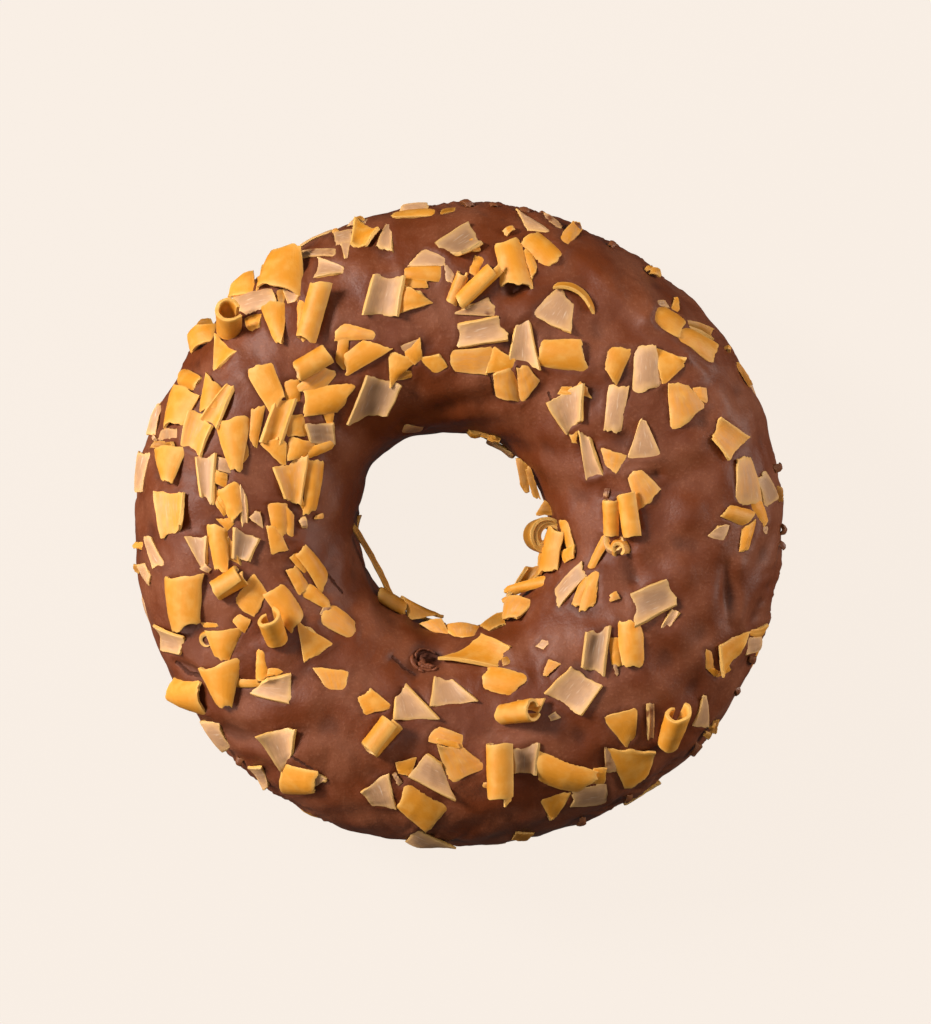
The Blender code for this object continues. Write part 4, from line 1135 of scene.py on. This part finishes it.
def flake_sheet(ring, row, curls, salt):
    """A flake between four corners: the patch between its straight edges, raised across by the
    bent profile times the half width there, bowed along its length, its outline torn. Returns
    the laid middle surface, the parameters and the two sizes."""
    centre_x, centre_y = sum(row[0:8:2]) / 4, sum(row[1:8:2]) / 4
    first, second, third, fourth = (
        ring.seen((centre_x + (row[i] - centre_x) * FLAKE_GROWTH) * MM,
                  (centre_y + (row[i + 1] - centre_y) * FLAKE_GROWTH) * MM) for i in (0, 2, 4, 6))
    if np.cross(third - first, second - fourth)[2] < 0:
        first, second, third, fourth = second, first, fourth, third
    arc = row[8]
    raised = row[10] if len(row) > 10 else 0.0
    along, across = sheet_parameters(curls.rows, curls.columns)
    new_along, new_across = torn_outline(along, across, curls.torn, salt, FLAKE_CROOKED)
    skew = SKEW * FLAKE_SKEW * chance(salt, 2, 7)
    side, rise = bent_profile(math.radians(abs(arc) + 1), skew, new_across)
    far = ((1 + new_along) / 2)[..., None]
    over = ((1 + side) / 2)[..., None]
    left = first + (fourth - first) * far
    right = second + (third - second) * far
    half = np.linalg.norm(right - left, axis=-1) / 2
    length = (np.linalg.norm(fourth - first) + np.linalg.norm(third - second)) / 2
    width = (np.linalg.norm(second - first) + np.linalg.norm(third - fourth)) / 2
    rise = math.copysign(FLAKE_RISE, arc) * rise * half - FLAKE_BOW * length * along ** 2
    rise = rise + corner_lift(along, across, salt) * min(length, width) / LIFT_SIZE
    rise = rise + FLAKE_WAVE * ripple(new_along * 2.0 + new_across, salt + 6)
    _, normal = ring.seat(*ring.angles(centre_x * MM, centre_y * MM))
    flat_normal = unit(np.cross(third - first, second - fourth))
    points = left + (right - left) * over + flat_normal * rise[..., None]
    if raised is not None:
        sunk = SHELL_SUNK if arc >= SHELL_FROM else FLAT_SUNK
        points = settle(ring, points, normal, sunk, FLAT_REACH + FLAKE_REACH * length)
        points = points + normal * raised * MM
    return points, along, across, length, width


def rolled_sheet(along, across, arc, length, width, lap):
    """Sheet rolled to a spiral: its radius falls from the outer edge to the inner one, with a
    slight cone along it. The lap angle says where on the roll the outer edge ends."""
    radius = width / 2 * (1 - ROLL_FALL * (across + 1) / 2) * (1 + ROLL_CONE * along)
    angle = across * arc / 2 + lap + ROLL_TWIST * along
    rise = radius * np.cos(angle) - width / 2
    return np.stack((along * length / 2, radius * np.sin(angle), rise), axis=-1)


def upright_sheet(along, across, arc, length, height):
    """Sheet standing on its edge, bent in plan to an arc that opens at one end, tapered towards the
    other and leaning in at the top."""
    radius = length / arc
    angle = along * arc / 2
    closing, opening = np.clip(-along, 0, 1) ** 2, np.clip(along, 0, 1) ** 4
    tall = (1 - TAPERS[0] * closing) * (1 - TAPERS[1] * opening) * height / 2
    plan = radius * (1 + OPEN_OUT * along) - INWARD * across * tall
    away = plan * np.cos(angle) - SET_BACK * radius
    return np.stack((plan * np.sin(angle), away, across * tall), axis=-1)


def settle(ring, points, outward, sunk, reach):
    """Points pressed along the outward direction until the deepest is sunk so far.

    Points past the deepest limit are pushed out and points above the reach are drawn in, as a
    thin curl gives while the chocolate is warm.
    """
    for _ in range(3):
        points = points + outward * (ring.depth(points).max() - sunk)
    for _ in range(2):
        depth = ring.depth(points)
        push = np.clip(depth - SUNK_LIMIT, 0.0, None) - np.clip(-reach - depth, 0.0, None)
        points = points + outward * push[..., None]
    return points


def lay(ring, local, angles, turn, pitch, sunk, reach):
    """A sheet laid on the ring: turned in plan, tipped up at one end and pressed in."""
    point, normal = ring.seat(*angles)
    up = normal
    if math.sin(angles[1]) > 0:
        up = unit(normal * (1 - LEAN) + np.array((0.0, 0.0, 1.0)) * LEAN)
    heading = np.array((math.cos(turn), math.sin(turn), 0.0))
    along = unit(heading - up * (heading @ up))
    across = np.cross(up, along)
    roll = TILT * chance(point[0] / MM, point[1] / MM, 1)
    pitch = pitch + TILT * chance(point[0] / MM, point[1] / MM, 2)
    along, up = turned(along, up, pitch)
    across, up = turned(across, up, roll)
    points = point + local @ np.stack((along, across, up))
    return settle(ring, points, normal, sunk, reach)


class CurlHeap:
    """Curls of one kind gathered into one mesh."""

    def __init__(self, ring, curls):
        self.ring = ring
        self.curls = curls
        self.parts = []
        self.start = 0

    def add(self, middle, along, across, length, width, tone, salt):
        """Thickens a laid sheet: its faces lie half the thickness either side of the middle
        surface, along the surface's own normals, thinner at the rim, joined by a narrow band."""
        rows, columns = along.shape
        slope_along = np.gradient(middle, axis=0)
        slope_across = np.gradient(middle, axis=1)
        normal = unit(np.cross(slope_along, slope_across))
        near_rim = edge_share(along, across)
        uneven = 1 + UNEVEN_CURL * chance(salt, 6, 3) + UNEVEN_ALONG * ripple(along * 2, salt + 5)
        offset = np.where(near_rim >= 1.0, RIM_THICKNESS, 1.0) * self.curls.sheet / 2 * uneven
        outer = middle + normal * offset[..., None]
        inner = middle - normal * offset[..., None]
        vertices = np.concatenate((outer.reshape(-1, 3), inner.reshape(-1, 3)))
        quads = grid_quads(rows, columns)
        numbers = np.arange(rows * columns).reshape(rows, columns)
        edge = np.concatenate((numbers[:-1, 0], numbers[-1, :-1], numbers[:0:-1, -1], numbers[0, :0:-1]))
        after = np.roll(edge, -1)
        size = rows * columns
        band = np.stack((edge, after, after + size, edge + size), axis=-1)
        quads = np.concatenate((quads, quads[:, ::-1] + size, band[:, ::-1]))
        quads = facing_out(vertices, quads)
        top, under, film, shade = TONES[tone]
        orange = np.repeat((top, under), size)
        worn = np.tile(near_rim.ravel() ** WORN_POWER, 2)
        hollow = np.tile(((1 - across ** 2) * (1 - along ** 4)).ravel(), 2)
        depth = self.ring.depth(vertices) / MM
        film = np.clip(film + eased(depth, *FILM_RANGE) * FILM_MOST, 0.0, 1.0)
        # Painted shade: a tone's middle brightness darkens the sheet towards its middle, most for B and G,
        # less at the rim
        bright = 1 - (1 - shade) * (RIM_SHADE + (1 - RIM_SHADE) * hollow)
        bright = (1.0 + BRIGHT_SPREAD * chance(salt, 7, 4)) * bright
        flat = np.stack((along * length / 2 / MM + 7 * salt % 50, across * width / 2 / MM), axis=-1)
        flat = flat.reshape(-1, 2)
        uv = np.concatenate((flat, flat + PATTERN_GAP))
        self.parts.append((vertices, quads + self.start, orange, worn, hollow, film, bright, uv))
        self.start += len(vertices)

    def piece(self, name, finish):
        """The mesh object of every curl added."""
        vertices, quads, *looks, uv = map(np.concatenate, zip(*self.parts))
        return build_piece(name, vertices, quads, finish, "chocolate_coat",
                           zip(LOOKS, looks), uv, CREASE)


def salt_of(x, y):
    """A number of its own for each place."""
    return 10 + 40 * (1 + chance(x, y, 9))


def laid_sheets(ring, curls):
    """Every curl of the layout as kind, laid middle surface, parameters, sizes, tone and salt."""
    for x, y, turn, length, width, pitch, tone in ROLLS:
        salt = salt_of(x, y)
        along, across = sheet_parameters(curls.rows, curls.columns * 2)
        new_along, _ = torn_outline(along, across, curls.torn, salt)
        length_m, width_m = length * MM, width * MM
        arc, lap = ROLL_ARC, ROLL_LAP + ROLL_LAP_SPREAD * chance(x, y, 7)
        if pitch > OPEN_FROM:
            arc, lap = OPEN_ARC, OPEN_LAP_SPREAD * chance(x, y, 7)
        local = rolled_sheet(new_along, across, math.radians(arc), length_m, width_m, math.radians(lap))
        local[..., 2] += ROLL_WAVE * ripple(new_along * 2.0 + across, salt + 6)
        reach = width_m + length_m * abs(math.sin(math.radians(pitch)))
        angles = ring.angles(x * MM, y * MM)
        middle = lay(ring, local, angles, math.radians(turn), math.radians(pitch), ROLL_SUNK, reach)
        yield "rolls", middle, along, across, length_m, width_m, tone, salt
    for row in FLAKES:
        salt = salt_of(row[0], row[5])
        arc = row[8]
        kind = "shells" if arc >= SHELL_FROM else "troughs" if arc <= CUP_FROM else "tiles"
        middle, along, across, length_m, width_m = flake_sheet(ring, row, curls, salt)
        yield kind, middle, along, across, length_m, width_m, row[9], salt
    for x, y, turn, length, height, arc, tone in EDGES:
        salt = salt_of(x, y)
        along, across = sheet_parameters(curls.rows * 2, curls.columns // 2 + 2)
        new_along, new_across = torn_outline(along, across, curls.torn * UPRIGHT_TORN, salt)
        local = upright_sheet(new_along, new_across, math.radians(arc), length * MM, height * MM)
        angles = ring.angles(x * MM, y * MM)
        middle = lay(ring, local, angles, math.radians(turn), 0.0, SUNK_LIMIT, height * MM)
        yield "hooks", middle, along, across, length * MM, height * MM, tone, salt
    for count, low, spread, length, width, point in SIDE_BANDS:
        for index in range(count):
            theta = 2 * math.pi * (index + UNEVEN_SPACING * chance(index, low, 3)) / count
            phi = math.radians(low + spread * chance(index, low, 4))
            size = (1 + UNEVEN_SIZE * chance(index, low, 5)) * MM
            salt = salt_of(index, low)
            along, across = sheet_parameters(curls.rows, curls.columns)
            new_along, new_across = torn_outline(along, across, curls.torn, salt)
            cupped = index % 3 == 2
            local = bent_sheet(new_along, new_across, math.radians(SHELL_ARC), SKEW * chance(index, low, 7),
                               length * size, width * size, point, cupped)
            turn = math.pi * chance(index, low, 6)
            middle = lay(ring, local, (theta, phi), turn, 0.0, SIDE_SUNK, SIDE_REACH)
            tone = "T" if cupped else SIDE_TONES[index % len(SIDE_TONES)]
            yield "side_curls", middle, along, across, length * size, width * size, tone, salt


def settings():
    """The sizes and colours on the scene."""
    scene = bpy.context.scene
    return RingSurface(scene.doughnut_ring), scene.doughnut_curls, scene.doughnut_colours


def hem_angle(base, theta, phase):
    """A hem's angle in the section, which wanders by two sines as it goes round."""
    return base + HEM_WAVE * sum(
        share * np.sin(count * theta + times * phase) for share, count, times in HEM_WAVES)


class FryDough(bpy.types.Operator):
    """Make the fried ring: the section set in below the skin, cut flat by the floor, its crust
    raised and sunk by smooth noise"""

    bl_idname = "doughnut.fry_dough"
    bl_label = "Fried ring"

    def execute(self, context):
        ring, _, colours = settings()
        rows, columns = DOUGH_GRID
        theta = np.linspace(0, 2 * math.pi, rows, endpoint=False)[:, None]
        phi = np.linspace(-math.pi, math.pi, columns, endpoint=False)[None, :]
        theta, phi = np.broadcast_arrays(theta, phi)
        inset = ring.sizes.skin + ring.sizes.gap
        points = ring.point(theta, phi, inset)
        crust = CRUST_LUMP - CRUST_LUMP * lumps(points, CRUST_WAVELENGTH, 3)
        points = ring.point(theta, phi, inset + crust)
        floor = DOUGH_BOX[0][2]
        points[..., 2] = np.maximum(points[..., 2], floor)
        vertices = points.reshape(-1, 3)
        quads = facing_out(vertices, grid_quads(rows, columns, True, True))
        build_piece("fried_ring", vertices, quads, dough_finish(colours), "dough_ring")
        return {"FINISHED"}


class PourChocolate(bpy.types.Operator):
    """Pour the chocolate skin: the section from hem to hem, lumpy at two sizes, raised in a
    narrow band against each curl and pressed down under it, closed by a rounded hem and an
    inner side"""

    bl_idname = "doughnut.pour_chocolate"
    bl_label = "Chocolate skin"

    def execute(self, context):
        ring, curls, colours = settings()
        sizes = ring.sizes
        theta = np.linspace(0, 2 * math.pi, sizes.steps_round, endpoint=False)[:, None]
        share, inset, past = skin_profile(sizes)
        outer_hem = hem_angle(OUTER_HEM, theta, 1.0)
        hole_hem = hem_angle(HOLE_HEM, theta, 2.5)
        phi = outer_hem * (1 - share) + hole_hem * share + past
        theta = np.broadcast_to(theta, phi.shape)
        foot = HEM_FOOT * (np.exp(-((phi - outer_hem) / HEM_FOOT_ANGLE) ** 2)
                           + np.exp(-((phi - hole_hem) / HEM_FOOT_ANGLE) ** 2))
        outside = inset < OUTSIDE_SHARE * sizes.skin
        points = ring.point(theta, phi, inset)
        relief = sum(height * MM * lumps(points, size * MM, salt) for height, size, salt in SKIN_LUMPS)
        relief = relief + crests(points) * (phi < FOLD_LIMIT)
        patches = eased(lumps(points, CRUMBLE_SPREAD, 8), *CRUMBLE_RANGE)
        patches = patches * np.exp(-((phi - CRUMBLE_MIDDLE) / CRUMBLE_REACH) ** 2)
        height, size, salt = CRUMBLE_LUMPS
        relief = relief + height * MM * patches * lumps(points, size * MM, salt)
        contact, scraped_and_painted_shade = contact_relief(ring, curls, points, outside)
        fade = np.clip(1 - inset / sizes.skin, 0.0, 1.0)
        out = (relief + foot + contact) * fade
        points = ring.point(theta, phi, inset - out)
        vertices = points.reshape(-1, 3)
        quads = facing_out(vertices, grid_quads(*phi.shape, True, True))
        # Painted shade: the dents of the relief are marked for darkening
        painted_dent_shade = eased(-relief / MM, *PAINTED_DENT_SHADE_RANGE)
        attributes = (("scraped_and_painted_shade", scraped_and_painted_shade.ravel()), ("painted_dent_shade", painted_dent_shade.ravel()))
        build_piece("chocolate_skin", vertices, quads, chocolate_finish(colours),
                    "chocolate_coat", attributes)
        return {"FINISHED"}


def skin_profile(sizes):
    """Rows of the skin's closed section: share of the way from hem to hem, inset, angle past the
    hem. The outside runs over, a half circle rounds each hem, and the inside runs back."""
    over = np.linspace(0, 1, sizes.steps_over)
    turn = np.linspace(0, math.pi, HEM_ROWS + 2)[1:-1]
    back = np.linspace(1, 0, INSIDE_ROWS)
    round_inset = sizes.skin * (1 - np.cos(turn)) / 2
    bulge = HEM_BULGE * np.sin(turn)
    share = np.concatenate((over, np.ones(HEM_ROWS), back, np.zeros(HEM_ROWS)))
    inset = np.concatenate((np.zeros(sizes.steps_over), round_inset, np.full(INSIDE_ROWS, sizes.skin),
                            round_inset[::-1]))
    past = np.concatenate((np.zeros(sizes.steps_over), bulge, np.zeros(INSIDE_ROWS), -bulge[::-1]))
    return share[None, :], inset[None, :], past[None, :]


def crests(points):
    """Height of the folds and pits in plan: a bell of the distance to each straight stretch, whose
    width and height are its own."""
    x, y = points[..., 0] / MM, points[..., 1] / MM
    total = np.zeros_like(x)
    for start_x, start_y, end_x, end_y, width, height in FOLDS:
        length = max(math.hypot(end_x - start_x, end_y - start_y), 0.1)
        along_x, along_y = (end_x - start_x) / length, (end_y - start_y) / length
        along = (x - start_x) * along_x + (y - start_y) * along_y
        beside = (y - start_y) * along_x - (x - start_x) * along_y
        past = along - np.clip(along, 0, length)
        total += height * MM * np.exp(-(past ** 2 + beside ** 2) / width ** 2)
    return total


def contact_relief(ring, curls, points, outside):
    """Height that the skin gains at the rims of the curls and loses under them, and how dark it is
    painted: darker over the swirl, and a painted contact shadow along each rim's ridge. Each rim
    adds a bell of the distance to its nearest sunk point."""
    flat = points.reshape(-1, 3)
    gain = np.zeros(len(flat))
    loss = np.zeros(len(flat))
    wanted = np.broadcast_to(outside, points.shape[:-1]).ravel()
    for _, middle, along, across, length, _, _, _ in laid_sheets(ring, curls):
        centre = middle.reshape(-1, 3).mean(axis=0)
        far = ((flat - centre) ** 2).sum(axis=1)
        near = np.flatnonzero(wanted & (far < (length / 2 + NEAR_CURL) ** 2))
        depth, near_rim = ring.depth(middle), edge_share(along, across)
        touching = middle[(near_rim >= 1.0) & (depth > RIDGE_DEPTH)]
        under = middle[(near_rim < PRINT_SHARE) & (depth > PRINT_DEPTH)]
        for places, relief, (height, reach) in ((touching, gain, RIDGE), (under, loss, PRINT)):
            if len(places) and len(near):
                gap = np.sqrt(((flat[near, None] - places[None]) ** 2).sum(axis=2).min(axis=1))
                relief[near] = np.maximum(relief[near], height * np.exp(-(gap / reach) ** 2))
    x, y = flat[:, 0] / MM - SWIRL[0], flat[:, 1] / MM - SWIRL[1]
    scraped_and_painted_shade = wanted * np.exp(-((x * x + y * y) / SWIRL[2] ** 2) ** 2) * SWIRL_DARK
    # Painted contact shadow: the skin's ridge beside each curl is darkened
    scraped_and_painted_shade = np.maximum(scraped_and_painted_shade, gain / RIDGE[0] * RIDGE_PAINTED_SHADE)
    shape = points.shape[:-1]
    return (gain - loss).reshape(shape), scraped_and_painted_shade.reshape(shape)


class LayCurls(bpy.types.Operator):
    """Lay the curls of every kind: sheets bent, rolled or stood on edge, with torn outlines,
    pressed into the skin where the layout has them"""

    bl_idname = "doughnut.lay_curls"
    bl_label = "Chocolate curls"

    def execute(self, context):
        ring, curls, colours = settings()
        finish = curl_finish(colours)
        heaps = {}
        for kind, middle, along, across, length, width, tone, salt in laid_sheets(ring, curls):
            heap = heaps.setdefault(kind, CurlHeap(ring, curls))
            heap.add(middle, along, across, length, width, tone, salt)
        for kind, heap in heaps.items():
            heap.piece("curl_" + kind, finish)
        return {"FINISHED"}


class ScatterChips(bpy.types.Operator):
    """Scatter the small chips that broke off the curls: tiny bent sheets near the curls"""

    bl_idname = "doughnut.scatter_chips"
    bl_label = "Chips"

    def execute(self, context):
        ring, curls, colours = settings()
        heap = CurlHeap(ring, curls)
        corners = np.array([row[:8] for row in FLAKES])
        centre_x, centre_y = corners[:, 0::2].mean(axis=1), corners[:, 1::2].mean(axis=1)
        sizes = np.hypot(corners[:, 0] - corners[:, 4], corners[:, 1] - corners[:, 5])
        for index in range(CHIP_COUNT):
            parent = index * 7 % len(FLAKES)
            away = math.pi * chance(index, sizes[parent], 31)
            share = CHIP_AWAY + CHIP_AWAY_SPREAD * chance(index, centre_y[parent], 32)
            reach = sizes[parent] * share
            x, y = centre_x[parent] + reach * math.cos(away), centre_y[parent] + reach * math.sin(away)
            if np.any(np.hypot(centre_x - x, centre_y - y) < CHIP_CLEAR_SHARE * sizes + CHIP_CLEAR):
                continue
            tone = CHIP_TONES[index % len(CHIP_TONES)]
            size = CHIP_SIZE + CHIP_SIZE_SPREAD * chance(index, x, 33)
            self.chip(heap, x, y, size, tone, CHIP_REACH)
        for places, size, spread, tone, reach in CRUMB_KINDS:
            for x, y in places:
                self.chip(heap, x, y, size + spread * chance(x, y, 33), tone, reach)
        heap.piece("chips", curl_finish(colours))
        return {"FINISHED"}

    def chip(self, heap, x, y, size, tone, reach):
        """One tiny bent sheet of a size in millimetres, laid at a place."""
        salt = salt_of(x, y)
        length, width = size * MM, size * CHIP_WIDTH * MM
        along, across = sheet_parameters(CHIP_GRID, CHIP_GRID)
        new_along, new_across = torn_outline(along, across, CHIP_TORN, salt)
        arc = math.radians(CHIP_ARC + CHIP_ARC_SPREAD * chance(x, y, 34))
        local = bent_sheet(new_along, new_across, arc, 0.0, length, width, CHIP_POINT, False)
        angles = heap.ring.angles(x * MM, y * MM)
        turn = math.pi * chance(x, y, 35)
        middle = lay(heap.ring, local, angles, turn, 0.0, CHIP_SUNK, reach * MM)
        heap.add(middle, along, across, length, width, tone, salt)


class ScrapeThreads(bpy.types.Operator):
    """Leave the scraped chocolate threads: round cords that loop over the dent, their path a
    circle whose radius and height wander"""

    bl_idname = "doughnut.scrape_threads"
    bl_label = "Scraped threads"

    def execute(self, context):
        ring, _, colours = settings()
        vertices, quads, start = [], [], 0
        for index in range(THREAD_COUNT):
            turn = np.linspace(0, math.pi * (0.8 + 0.4 * chance(index, 1, 41)), THREAD_STEPS)
            turn = turn + math.pi * chance(index, 2, 42)
            reach = SWIRL[2] * (0.35 + 0.13 * index + 0.12 * ripple(turn, index + 3))
            x = (SWIRL[0] + reach * np.cos(turn)) * MM
            y = (SWIRL[1] + 0.8 * reach * np.sin(turn)) * MM
            path = ring.point(*ring.angles(x, y))
            path[:, 2] += THREAD_WAVE * (1 + ripple(turn * 3, index + 9))
            tube, faces = swept_tube(path, THREAD_RADIUS * (1 + 0.4 * chance(index, 3, 43)))
            vertices.append(tube)
            quads.append(faces + start)
            start += len(tube)
        vertices, quads = np.concatenate(vertices), np.concatenate(quads)
        blank = np.zeros(len(vertices))
        build_piece("scraped_threads", vertices, facing_out(vertices, quads), chocolate_finish(colours),
                    "chocolate_coat", (("scraped_and_painted_shade", blank), ("painted_dent_shade", blank)))
        return {"FINISHED"}


def swept_tube(path, radius):
    """A circle carried along a path, square to it, its radius falling to nothing at both ends."""
    heading = unit(np.gradient(path, axis=0))
    side = unit(np.cross(heading, np.array((0.0, 0.0, 1.0))))
    up = np.cross(side, heading)
    turn = np.linspace(0, 2 * math.pi, THREAD_SIDES, endpoint=False)
    share = np.linspace(-1, 1, len(path))
    swell = radius * np.sqrt(np.clip(1.02 - share ** 6, 0.02, None))
    ring_points = side[:, None] * np.cos(turn)[None, :, None] + up[:, None] * np.sin(turn)[None, :, None]
    points = path[:, None] + ring_points * swell[:, None, None]
    tube = points.reshape(-1, 3)
    ends = np.stack((path[0], path[-1]))
    quads = grid_quads(len(path), THREAD_SIDES, False, True)
    first = np.arange(THREAD_SIDES)
    last = first + (len(path) - 1) * THREAD_SIDES
    closing = end_cap(first, len(tube)), np.roll(end_cap(last, len(tube) + 1)[:, ::-1], 1, axis=1)
    return np.concatenate((tube, ends)), np.concatenate((quads, *closing))


def end_cap(numbers, tip):
    """Quads that close a tube's end: each joins three neighbours of its last circle to the tip."""
    corners = [np.roll(numbers, -step)[::2] for step in range(3)]
    return np.stack((*corners, np.full(len(numbers) // 2, tip)), axis=-1)


class SetStage(bpy.types.Operator):
    """Set the stage: a plain pale floor, soft lights and the camera straight above"""

    bl_idname = "doughnut.set_stage"
    bl_label = "Stage"

    def execute(self, context):
        _, _, colours = settings()
        scene = context.scene
        side = FLOOR_SIDE / 2
        corners = np.array(((-side, -side), (side, -side), (side, side), (-side, side)))
        mesh = bpy.data.meshes.new("floor")
        height = CAD_BOX[0][2] - FLOOR_GAP
        mesh.from_pydata([(x, y, height) for x, y in corners.tolist()], [], [(0, 1, 2, 3)])
        mesh.materials.append(floor_finish(colours))
        floor = bpy.data.objects.new("floor", mesh)
        scene.collection.objects.link(floor)
        floor.visible_diffuse = False
        floor.visible_glossy = False
        for name, place, size, power, colour in LIGHTS:
            data = bpy.data.lights.new(name, "AREA")
            data.shape = "DISK"
            data.size, data.energy, data.color = size, power, colour
            lamp = bpy.data.objects.new(name, data)
            lamp.location = place
            heading = LIGHT_AIM - Vector(place)
            lamp.rotation_euler = heading.to_track_quat("-Z", "Y").to_euler()
            scene.collection.objects.link(lamp)
        world = bpy.data.worlds.new("studio")
        world.use_nodes = True
        background = world.node_tree.nodes["Background"]
        background.inputs["Color"].default_value = SKY_COLOUR
        background.inputs["Strength"].default_value = SKY_STRENGTH
        scene.world = world
        scene.view_settings.view_transform = "Standard"
        eye = bpy.data.cameras.new("camera")
        eye.sensor_width = SENSOR
        eye.lens = SENSOR * CAMERA_DISTANCE / FRAME_HEIGHT
        camera = bpy.data.objects.new("camera", eye)
        camera.location = (CAMERA_X, CAMERA_Y, scene.doughnut_ring.equator + CAMERA_DISTANCE)
        scene.collection.objects.link(camera)
        scene.camera = camera
        return {"FINISHED"}


class DoughnutPanel(bpy.types.Panel):
    """Lists the doughnut's sizes, colours and steps"""

    bl_idname = "VIEW3D_PT_doughnut"
    bl_label = "Chocolate ring doughnut"
    bl_space_type = "VIEW_3D"
    bl_region_type = "UI"
    bl_category = "Doughnut"

    def draw(self, context):
        layout = self.layout
        scene = context.scene
        for group in (scene.doughnut_ring, scene.doughnut_curls, scene.doughnut_colours):
            box = layout.box()
            for label in group.bl_rna.properties.keys():
                if label not in ("rna_type", "name"):
                    box.prop(group, label)
        for operator in OPERATORS:
            layout.operator(operator.bl_idname)


OPERATORS = (FryDough, PourChocolate, LayCurls, ScatterChips, ScrapeThreads, SetStage)
CLASSES = (RingSizes, CurlSizes, Colours) + OPERATORS + (DoughnutPanel,)


def register():
    """Adds the classes and puts the sizes and colours on the scene."""
    for added in CLASSES:
        bpy.utils.register_class(added)
    bpy.types.Scene.doughnut_ring = PointerProperty(type=RingSizes)
    bpy.types.Scene.doughnut_curls = PointerProperty(type=CurlSizes)
    bpy.types.Scene.doughnut_colours = PointerProperty(type=Colours)


def unregister():
    """Takes the properties and classes away again."""
    del bpy.types.Scene.doughnut_ring
    del bpy.types.Scene.doughnut_curls
    del bpy.types.Scene.doughnut_colours
    for added in reversed(CLASSES):
        bpy.utils.unregister_class(added)


def main():
    """Registers the add-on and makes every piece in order."""
    register()
    bpy.ops.doughnut.fry_dough()
    bpy.ops.doughnut.pour_chocolate()
    bpy.ops.doughnut.lay_curls()
    bpy.ops.doughnut.scatter_chips()
    bpy.ops.doughnut.scrape_threads()
    bpy.ops.doughnut.set_stage()


if __name__ == "__main__":
    main()
